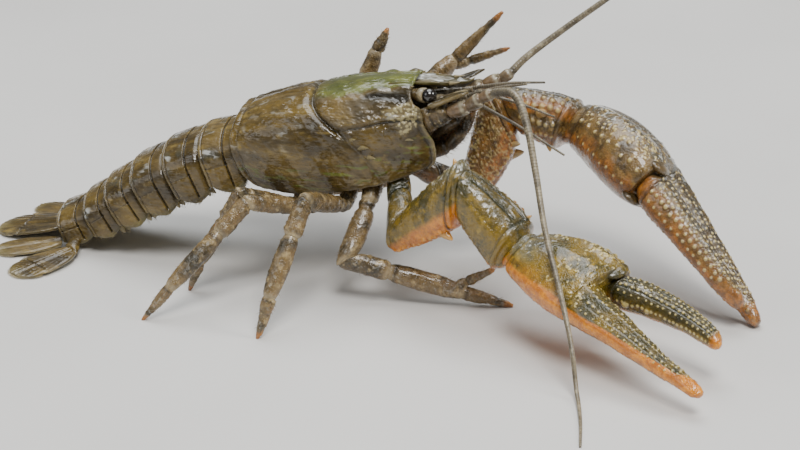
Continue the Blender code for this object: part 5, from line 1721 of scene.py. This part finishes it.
        # Painted highlight: the top of each length is marked for painted highlight specks.
        skin.tube(above(0.0, raised(grid, lift)), {"knob": 0.45 * spots, "warm": 0.9 * horn,
            "pale": 0.45 * (hump(u, 1.0, 0.05) + hump(u, 0.0, 0.04)),
            "dark": 0.65 * hump(u, 0.085, 0.035),
            "wet": 0.32 * hump(v, 1.6, 0.6) * window(u, 0.1, 0.9, 0.1)}, domes, steps=4)
        place, normal = limb.seat(rng.uniform(0.05, 0.75 if tip_from < 1.0 else 0.95, hairs),
            rng.uniform(0.0, TAU, hairs))
        tips = place + normal * rng.uniform(0.35, 0.8, (hairs, 1)) + limb.axes()[0] * 0.6
        skin.hairs(place - normal * 0.08, above(0.05, tips), 0.045, warm=0.5)


OUTER_BLADE = (-94.0, 13.2)
OUTER_TURN = 0.98


@dataclass
class Tail:
    """The six tail segments with their side flaps and swimmerets."""

    finishes: Finishes
    line: Table = ((-52.35, 28.1), (-61.6, 25.0), (-70.0, 20.9), (-77.8, 16.2), (-84.8, 11.6),
        (-91.0, 7.6), (-98.6, 4.2))
    half: Row = (11.0, 11.4, 11.2, 10.6, 9.8, 8.8)
    high: Row = (7.2, 7.2, 6.9, 6.3, 5.6, 4.4)
    flap_from: float = 0.6
    flap_root: float = 0.55

    def build(self) -> None:
        """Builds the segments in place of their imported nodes."""
        for number in range(6):
            self.segment(number)

    def joint(self, i: int) -> Array:
        """The middle of the joint before segment i, before the centring shift."""
        x, z = self.line[i]
        return np.array((x, 0.0, z))

    def outline(self, w: float, h: float, drop: Array, q: Array) -> Tuple[Array, Array]:
        """Half of a segment's section at places q from 0, the crest, over 1, the flap's tip, to 2, the belly.

        The back is a quarter turn, with side w sin and height h cos^0.9; below it the
        flap goes down to h times drop and comes back up on its inner face; the belly
        is nearly flat.

        Args:
            w: Half width.
            h: Height of the crest.
            drop: Depth of the flap, as a share of h.
            q: The places.

        Returns:
            Place to the side, and height.
        """
        knots = (self.flap_from, 0.68, 0.86, 1.0, 1.12, 1.3, 1.6, 2.0)
        root = self.flap_root
        over = np.clip(q / self.flap_from, 0.0, 1.0) * math.pi / 2.0
        flap = flow(q, knots, (1.0, 1.0, 0.985, 0.93, 0.84, 0.78, 0.42, 0.0))
        lower = flow(q, knots, (0.0, -0.16, -0.88, -1.0, -0.8, -0.45, -0.52, -root))
        lower = np.where(lower < -root, -root + (lower + root) * (drop - root) / (1.0 - root), lower)
        x = w * np.where(q <= self.flap_from, np.sin(over), flap)
        return x, h * np.where(q <= self.flap_from, np.maximum(np.cos(over), 0.0) ** 0.9, lower)

    def segment(self, i: int) -> None:
        """One segment with its swimmerets.

        Args:
            i: Number of the segment, from 0 at the front.
        """
        a, b = self.joint(i), self.joint(i + 1)
        start = bend(self.joint(i - 1), a, b) if i else unit(b - a)
        end = bend(a, b, self.joint(i + 2)) if i < 5 else unit(b - a)
        direction, side, up = frame_for(b - a, VERTICAL)
        length = float(np.linalg.norm(b - a))
        half = np.linspace(0.0, 2.0, 120)
        q, turn = mirrored(half), mirrored(np.ones_like(half), -1.0)
        u = np.unique(np.concatenate([np.linspace(0.0, 1.0, 64), np.linspace(0.32, 0.44, 16)]))[:, None]
        grow = flow(u, (0.0, 0.12, 0.33, 0.4, 0.7, 0.92, 1.0), (0.9, 0.965, 0.98, 1.0, 1.02, 1.035, 1.0))
        drop = 0.64 + 0.36 * np.sin(math.pi * np.minimum(u + 0.1, 1.0)) ** 0.8
        x, y = self.outline(self.half[i], self.high[i], drop, q)
        o = (side * (x * turn)[..., None] + up * y[..., None]) * grow[..., None]
        first = (HALF_GAP - o @ start) / np.dot(direction, start)
        last = length - (HALF_GAP + o @ end) / np.dot(direction, end)
        grid = placed(a) + o + direction * (first + u * (last - first))[..., None]
        shell = q < 1.05
        cross = hump(u, 0.365, 0.022) * (q < 0.85)
        rear = hump(u, 0.9, 0.02) * (q < 1.02)
        seam = hump(q, 0.62, 0.014) * window(u, 0.35, 0.9, 0.08)
        boss = hump(q, 0.78, 0.09) * hump(u, 0.66, 0.16)
        rim = hump(q, 0.965, 0.03)
        rng = np.random.default_rng(60 + i)
        seeds = grid.reshape(-1, 3)[rng.choice(np.flatnonzero((shell & (u > 0.42)).ravel()), 170)]
        soft, spots = bumps(grid, seeds, rng.uniform(0.3, 0.6, 170), rng.uniform(0.04, 0.1, 170))
        lift = (-0.4 * cross - 0.24 * rear - 0.26 * seam + 0.4 * boss + 0.12 * rim + soft
            + 0.09 * ripple(grid, 6.0, 61 + i)) * shell * step(0.0, 0.05, u)
        # Painted light: the grooves are darkened as painted shade, and patches on the back are marked for
        # painted highlight specks; the front part, before the cross groove, is darker too.
        lines = np.clip(0.85 * cross + 0.55 * rear + 0.5 * seam, 0.0, 1.0)
        masks = {"dark": (lines + 0.35 * (u < 0.3)) * shell,
            "pale": 0.85 * (~shell) + (0.35 * rim + 0.3 * hump(u, 0.97, 0.03)) * shell,
            "knob": 0.42 * spots * shell, "warm": 0.35 * step(0.7, 0.9, q) * (q < 1.02),
            "wet": 0.7 * step(0.1, 0.8, ripple(grid, 4.0, 91 + i)) * (q < 0.6) * (u > 0.4)}
        skin = Skin.over("tail_segment", i + 1)
        skin.tube(raised(grid, lift), masks, steps=3)
        self.fringe(skin, grid, q, 70 + i)
        if 1 <= i <= 4:
            self.swimmerets(skin, i)
        if i == 5:
            self.stalks(skin)
        skin.build(self.finishes.shield, Slot.OLIVE)

    def stalks(self, skin: Skin) -> None:
        """The joints under the last segment that carry the outer blades.

        Args:
            skin: The skin that takes it.
        """
        rows = ((0.0, 1.3, 0.7), (0.5, 1.6, 0.9), (0.9, 1.8, 0.85), (1.0, 1.6, 0.6))
        for sign in BOTH_SIDES:
            end = np.array((OUTER_BLADE[0], sign * OUTER_BLADE[1], 1.7))
            away = (-math.cos(OUTER_TURN), sign * math.sin(OUTER_TURN), 0.0)
            stalk = Limb(end + np.array((-0.4, -sign * 5.2, 1.3)), end, VERTICAL, rows, end=away, fade=0.5,
                gaps=(0.0, 0.3))
            skin.tube(stalk.grid(30, 28)[0], {"dark": 0.2}, (0.2, 0.2))

    def fringe(self, skin: Skin, grid: Array, q: Array, seed: int) -> None:
        """Short hairs along the lower edge of either flap.

        Args:
            skin: The skin that takes it.
            grid: The grid of points, rows by columns.
            q: Places of the columns.
            seed: Seed of the random draws.
        """
        rng = np.random.default_rng(seed)
        columns = np.flatnonzero(np.abs(q[0] - 1.0) < 0.012)
        for column in (columns[0], columns[-1]):
            base = grid[rng.choice(np.arange(8, grid.shape[0] - 4), 34), column]
            tips = base + np.array((-0.5, 0.0, -1.0)) * rng.uniform(0.5, 1.1, (34, 1))
            skin.hairs(base + VERTICAL * 0.1, above(0.1, tips), 0.045, pale=0.7)

    def swimmerets(self, skin: Skin, i: int) -> None:
        """A pair of swimmerets: a stalk and two flat blades with a fringe.

        Args:
            skin: The skin that takes it.
            i: Number of the segment.
        """
        rng = np.random.default_rng(80 + i)
        a, b = self.joint(i), self.joint(i + 1)
        direction, side, up = frame_for(b - a, VERTICAL)
        for sign in BOTH_SIDES:
            root = (a + b) / 2.0 + side * sign * self.half[i] * 0.52 - up * self.high[i] * 0.3
            tip = root - up * (self.high[i] * 0.25 + 3.6) - direction * 2.2 + side * sign * 0.5
            knee = root + (tip - root) * 0.38
            rows = ((0.0, 0.45, 0.55), (0.5, 0.5, 0.7), (1.0, 0.45, 0.65))
            stalk = Limb(root, knee, direction, rows, gaps=(0.0, 0.0))
            skin.tube(stalk.grid(16, 18)[0], {"pale": 0.9}, (0.2, 0.3))
            rows = ((0.0, 0.25, 0.45), (0.35, 0.28, 0.75), (0.7, 0.22, 0.7), (1.0, 0.12, 0.25))
            for splay in (-0.5, 0.5):
                end = tip + direction * splay * 1.2 + side * splay * 0.7
                limb = Limb(knee, end, direction, rows, gaps=(0.0, 0.0))
                skin.tube(limb.grid(26, 20)[0], {"pale": 0.8, "warm": 0.2}, (0.2, 0.15))
                shares, angles = rng.uniform(0.2, 1.0, 26), rng.choice((math.pi / 2, -math.pi / 2), 26)
                place, normal = limb.seat(shares, angles)
                ends = place + normal * 0.6 + limb.axes()[0] * 0.7
                skin.hairs(place, above(0.1, ends), 0.04, pale=0.9)


@dataclass
class TailFan:
    """The middle blade and two pairs of side blades, lying on the floor."""

    finishes: Finishes

    def build(self) -> None:
        """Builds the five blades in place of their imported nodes."""
        self.blade("telson", (-98.95, 0.0, 0.0), 0.0, 17.95, 6.6, 2.6, 0.64)
        for side in Side:
            sign = side.value
            self.blade(f"inner_blade_{side.tag}", (-98.25, sign * 8.2, 0.0), sign * 0.4, 15.5, 4.4, 1.0)
            self.blade(f"outer_blade_{side.tag}", (OUTER_BLADE[0], sign * OUTER_BLADE[1], 0.0),
                sign * OUTER_TURN, 16.0, 5.0, 1.0, 0.62)

    def blade(self, node: str, root: Triple, turn: float, length: float, width: float, lift: float,
            seam: float = 0.0) -> None:
        """One blade.

        At share u of the length and angle v round the section, the place to the side
        is the half width at u times |cos v|^0.8, and the height runs from the blade's
        underside to its top by (sin v)^0.5, so that the edge is blunt and thin.

        Args:
            node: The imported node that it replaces.
            root: Where it starts on the floor.
            turn: How far it points outward from straight back, in radians.
            length: Its length.
            width: Its greatest half width.
            lift: Height of its root over the floor.
            seam: Share of the length where a cross seam lies, or nought.
        """
        back = np.array((-math.cos(turn), math.sin(turn), 0.0))
        side = np.array((math.sin(turn), math.cos(turn), 0.0))
        u = np.linspace(0.0, 1.0, 120)[:, None]
        v = turns(160)
        knots = (0.0, 0.08, 0.25, 0.45, 0.62, 0.82, 0.93, 1.0)
        widths = (0.42, 0.61, 0.84, 0.98, 1.0, 0.9, 0.68, 0.34)
        if seam:
            knots = (0.0, 0.08, 0.25, 0.45, seam, seam + 0.03, 0.82, 0.93, 1.0)
            widths = (0.42, 0.6, 0.82, 0.96, 1.0, 0.93, 0.88, 0.66, 0.34)
        outline = flow(u, knots, widths)
        c, s = np.cos(v), np.sin(v)
        top = s > 0.0
        x = squared(c, 0.8) * outline
        profile = 0.45 + np.where(top, 0.5, -0.45) * np.abs(s) ** 0.5
        rib = 0.38 * hump(x, 0.0, 0.075) * top * (1.0 - 0.6 * u)
        rays = 0.035 * np.cos(np.arctan2(x, u + 0.35) * 38.0) * top * window(u, 0.25, 0.97, 0.1)
        flank = 0.14 * (hump(x, 0.16, 0.05) + hump(x, -0.16, 0.05)) * top
        cross = hump(u, seam, 0.012) * top * (seam > 0.0)
        height = lift * (1.0 - u) + (1.5 - 0.7 * u) * profile + rib + rays - flank - 0.2 * cross
        base = placed(root)
        grid = base + back * (length * u)[..., None] + side * (x * width)[..., None]
        grid = above(0.0, grid + VERTICAL * height[..., None])
        edge = hump(np.abs(x) / np.maximum(outline, 0.1), 1.0, 0.1)
        # Painted shade: the cross seam, the two side grooves and the troughs between the rays are darkened.
        lines = 0.7 * cross + 0.35 * flank / 0.14 - 3.0 * np.minimum(rays, 0.0)
        skin = Skin(f"{node}_skin")
        skin.tube(grid, {"dark": np.minimum(lines, 0.9),
            "pale": 0.25 * edge + 0.7 * (s < 0.0) + 0.35 * step(0.85, 1.0, u) * top,
            "warm": 0.3 * step(0.5, 0.9, u) * top}, (0.1, 0.1), steps=3)
        self.fringe(skin, base, back, side, length, width, lift, abs(len(node) + int(root[1])))
        if seam:
            level = VERTICAL * (lift * (1.0 - seam) + 0.6)
            points = np.array([base + back * (length * (seam - 0.02)) + side * (out * width * 0.97) + level
                for out in (-1.0, -0.86, 0.86, 1.0)])
            skin.cones(points, points + back * 1.6 - VERTICAL * 0.12, 0.38, rows=6, masks={"pale": 0.5})
        skin.build(self.finishes.shield, Slot.OLIVE, node)

    def fringe(self, skin: Skin, base: Array, back: Array, side: Array, length: float, width: float,
            lift: float, seed: int) -> None:
        """The close fringe of hairs along the rear edge of a blade, fanned out from its root.

        Args:
            skin: The skin that takes it.
            base: The blade's root.
            back: Way along the blade.
            side: Way across it.
            length: Length of the blade.
            width: Its half width.
            lift: Height of its root over the floor.
            seed: Seed of the random draws.
        """
        rng = np.random.default_rng(seed)
        t = np.linspace(-1.0, 1.0, 150)
        u = 1.0 - 0.3 * np.abs(t) ** 2.2
        x = np.sign(t) * flow(np.abs(t), (0.0, 0.25, 0.6, 0.85, 1.0), (0.0, 0.28, 0.62, 0.84, 0.9))
        start = base + back * (length * (u - 0.02))[:, None] + side * (x * width)[:, None]
        start = start + VERTICAL * (lift * (1.0 - u) + 0.3)[:, None]
        away = unit(back[None] + side[None] * (0.75 * t)[:, None])
        ends = start + away * rng.uniform(1.0, 1.5, (len(t), 1)) - VERTICAL * 0.2
        skin.hairs(start, above(0.06, ends), 0.07, pale=0.75)


@dataclass
class Studio:
    """Floor, lights and camera; lengths are millimetres, and the scale is in pixels to one of them."""

    distance: float = 600.0
    azimuth: float = math.radians(15.0)
    elevation: float = math.radians(23.0)
    scale: float = 4.45
    beak_pixel: Tuple[float, float] = (474.0, 81.0)
    frame_size: Tuple[int, int] = (800, 450)
    sensor: float = 36.0

    def build(self) -> None:
        """Builds floor, lights, soft sky and camera."""
        self.floor()
        self.lights()
        self.camera()

    def floor(self) -> None:
        """A pale square floor far wider than the view."""
        mesh = bpy.data.meshes.new("floor")
        count = 21
        t = np.linspace(-4.0, 4.0, count)
        x, y = np.meshgrid(t, t, indexing="ij")
        points = np.stack([x.ravel(), y.ravel(), np.full(x.size, -0.00002)], axis=-1)
        i, j = np.meshgrid(np.arange(count - 1) * count, np.arange(count - 1), indexing="ij")
        first = (i + j).ravel()
        faces = np.stack([first, first + count, first + count + 1, first + 1], axis=-1)
        mesh.from_pydata(points.tolist(), [], faces.tolist())
        mesh.materials.append(FloorFinish().material())
        obj = bpy.data.objects.new("floor", mesh)
        bpy.context.scene.collection.objects.link(obj)

    def lights(self) -> None:
        """Broad soft lights above and a pale even sky."""
        rows = (("key", (0.3, -0.5, 1.15), 0.55, 15.0, (1.0, 0.98, 0.95)),
            ("top", (-0.1, 0.4, 1.25), 1.1, 15.0, (0.95, 0.98, 1.0)),
            ("side", (1.05, 0.1, 0.85), 0.4, 5.0, (1.0, 0.97, 0.93)),
            ("fill", (-0.95, -0.75, 0.8), 0.8, 3.0, (0.97, 0.98, 1.0)))
        target = Vector((0.03, 0.0, 0.03))
        for name, place, size, power, colour in rows:
            data = bpy.data.lights.new(name, "AREA")
            data.shape, data.size, data.energy, data.color = "DISK", size, power, colour
            lamp = bpy.data.objects.new(name, data)
            lamp.location = place
            lamp.rotation_euler = (target - Vector(place)).to_track_quat("-Z", "Y").to_euler()
            bpy.context.scene.collection.objects.link(lamp)
        world = bpy.data.worlds.new("soft_sky")
        world.use_nodes = True
        ground = world.node_tree.nodes["Background"]
        ground.inputs[0].default_value = (0.8, 0.84, 0.88, 1.0)
        ground.inputs[1].default_value = 0.22
        bpy.context.scene.world = world

    def camera(self) -> None:
        """The camera at the photograph's angle and scale, with the beak tip on its pixel."""
        a, e = self.azimuth, self.elevation
        ahead = np.array((-math.sin(a) * math.cos(e), math.cos(a) * math.cos(e), -math.sin(e)))
        right = np.array((math.cos(a), math.sin(a), 0.0))
        up = np.cross(right, ahead)
        off = (np.array(self.beak_pixel) - np.array(self.frame_size) / 2.0) / self.scale
        place = placed(BEAK_TIP) - ahead * self.distance - right * off[0] + up * off[1]
        data = bpy.data.cameras.new("camera")
        data.sensor_width = self.sensor
        data.lens = self.sensor * self.scale * self.distance / self.frame_size[0]
        data.clip_start, data.clip_end = 0.02, 20.0
        camera = bpy.data.objects.new("camera", data)
        turn = np.stack([right, up, -ahead], axis=1)
        camera.matrix_world = Matrix.Translation(Vector(place * MM)) @ Matrix(turn.tolist()).to_4x4()
        bpy.context.scene.collection.objects.link(camera)
        bpy.context.scene.camera = camera


FEELERS = {
    Side.RIGHT: ((-3.9, -7.1, 43.3), (0.8, -7.3, 45.4), (6.0, -8.0, 48.9), (11.0, -10.0, 50.3),
        (14.8, -14.0, 46.4), (19.1, -22.0, 37.4), (23.4, -31.0, 27.5), (29.9, -43.0, 17.0),
        (33.7, -50.0, 8.9), (36.3, -56.0, 1.2), (39.0, -66.0, 0.4), (41.0, -76.0, 0.3)),
    Side.LEFT: ((-3.9, 7.1, 43.3), (-0.8, 7.7, 44.2), (2.2, 8.4, 45.5), (5.6, 10.0, 47.0),
        (8.2, 12.0, 49.8), (16.2, 16.0, 56.3), (25.6, 20.0, 63.4), (34.9, 24.0, 70.5),
        (45.3, 28.0, 79.1), (55.0, 31.0, 86.0), (64.0, 34.0, 91.0), (73.0, 36.0, 95.0)),
}
# For each side the joints, the upward ways of the lengths, the ends of the moving finger and the arch.
CLAWS = {
    Side.RIGHT: (((-12.8, -15.5, 16.5), (2.4, -20.3, 29.9), (15.0, -22.5, 18.3), (61.4, -57.6, 5.2)),
        ((0.0, -0.5, 1.0), (-0.5, 0.2, 1.0), (0.6, -0.3, 1.0), (0.1, -0.25, 1.0)),
        ((24.7, 8.9), (50.8, 16.0)), 1.0),
    Side.LEFT: (((-3.5, 12.0, 16.5), (3.2, 18.6, 35.7), (19.0, 19.0, 32.9), (68.0, -9.0, 0.6)),
        ((0.0, 0.5, 1.0), (-1.0, 0.0, 0.4), (0.4, 0.5, 1.0), (0.62, 0.23, 0.75)),
        ((25.4, 8.9), (56.3, 6.0)), 5.0),
}
# For each leg its number, knee, middle joint, foot, half sizes, whether it is raised, and its moving finger.
LEGS = {
    Side.RIGHT: (
        (2, (-24.5, -19.0, 10.0), (1.5, -15.6, 3.4), (12.8, -13.2, 0.35), (2.0, 2.3), True,
            ((2.2, -14.6, 5.6), (8.8, -14.0, 9.4))),
        (3, (-31.0, -30.0, 28.0), (-36.0, -41.0, 9.0), (-38.0, -44.0, 0.0), (1.8, 2.1)),
        (4, (-46.0, -25.0, 24.0), (-60.0, -38.5, 7.5), (-65.7, -41.4, 0.0), (1.6, 1.9)),
        (5, (-49.0, -21.0, 24.0), (-58.2, -23.2, 7.5), (-60.9, -23.5, 0.0), (1.5, 1.8))),
    Side.LEFT: (
        (2, (-24.0, 28.0, 30.0), (-13.5, 36.5, 40.0), (-2.2, 38.0, 52.4), (2.0, 2.3), True,
            ((-10.2, 37.3, 39.6), (0.2, 36.0, 44.3))),
        (3, (-38.0, 27.0, 20.5), (-31.0, 29.5, 43.0), (-28.2, 30.0, 48.7), (1.8, 2.1), True),
        (4, (-46.0, 26.0, 27.0), (-50.0, 40.0, 8.0), (-51.5, 43.5, 0.0), (1.6, 1.9)),
        (5, (-53.0, 20.0, 25.0), (-64.5, 29.0, 8.0), (-67.5, 31.5, 0.0), (1.5, 1.8))),
}


def main() -> None:
    """Builds the whole animal and its studio, and reports each piece."""
    logging.basicConfig(level=logging.INFO, format="%(name)s %(message)s")
    finishes = Finishes.make()
    Studio().build()
    Shield(finishes).build()
    Head(finishes).build()
    Keel(finishes).build()
    for side, line in FEELERS.items():
        Feeler(finishes, side, line).build()
    for side, claw in CLAWS.items():
        GreatClaw(finishes, side, *claw).build()
    for side, legs in LEGS.items():
        for leg in legs:
            WalkingLeg(finishes, side, *leg).build()
    Tail(finishes).build()
    TailFan(finishes).build()


if __name__ == "__main__":
    main()
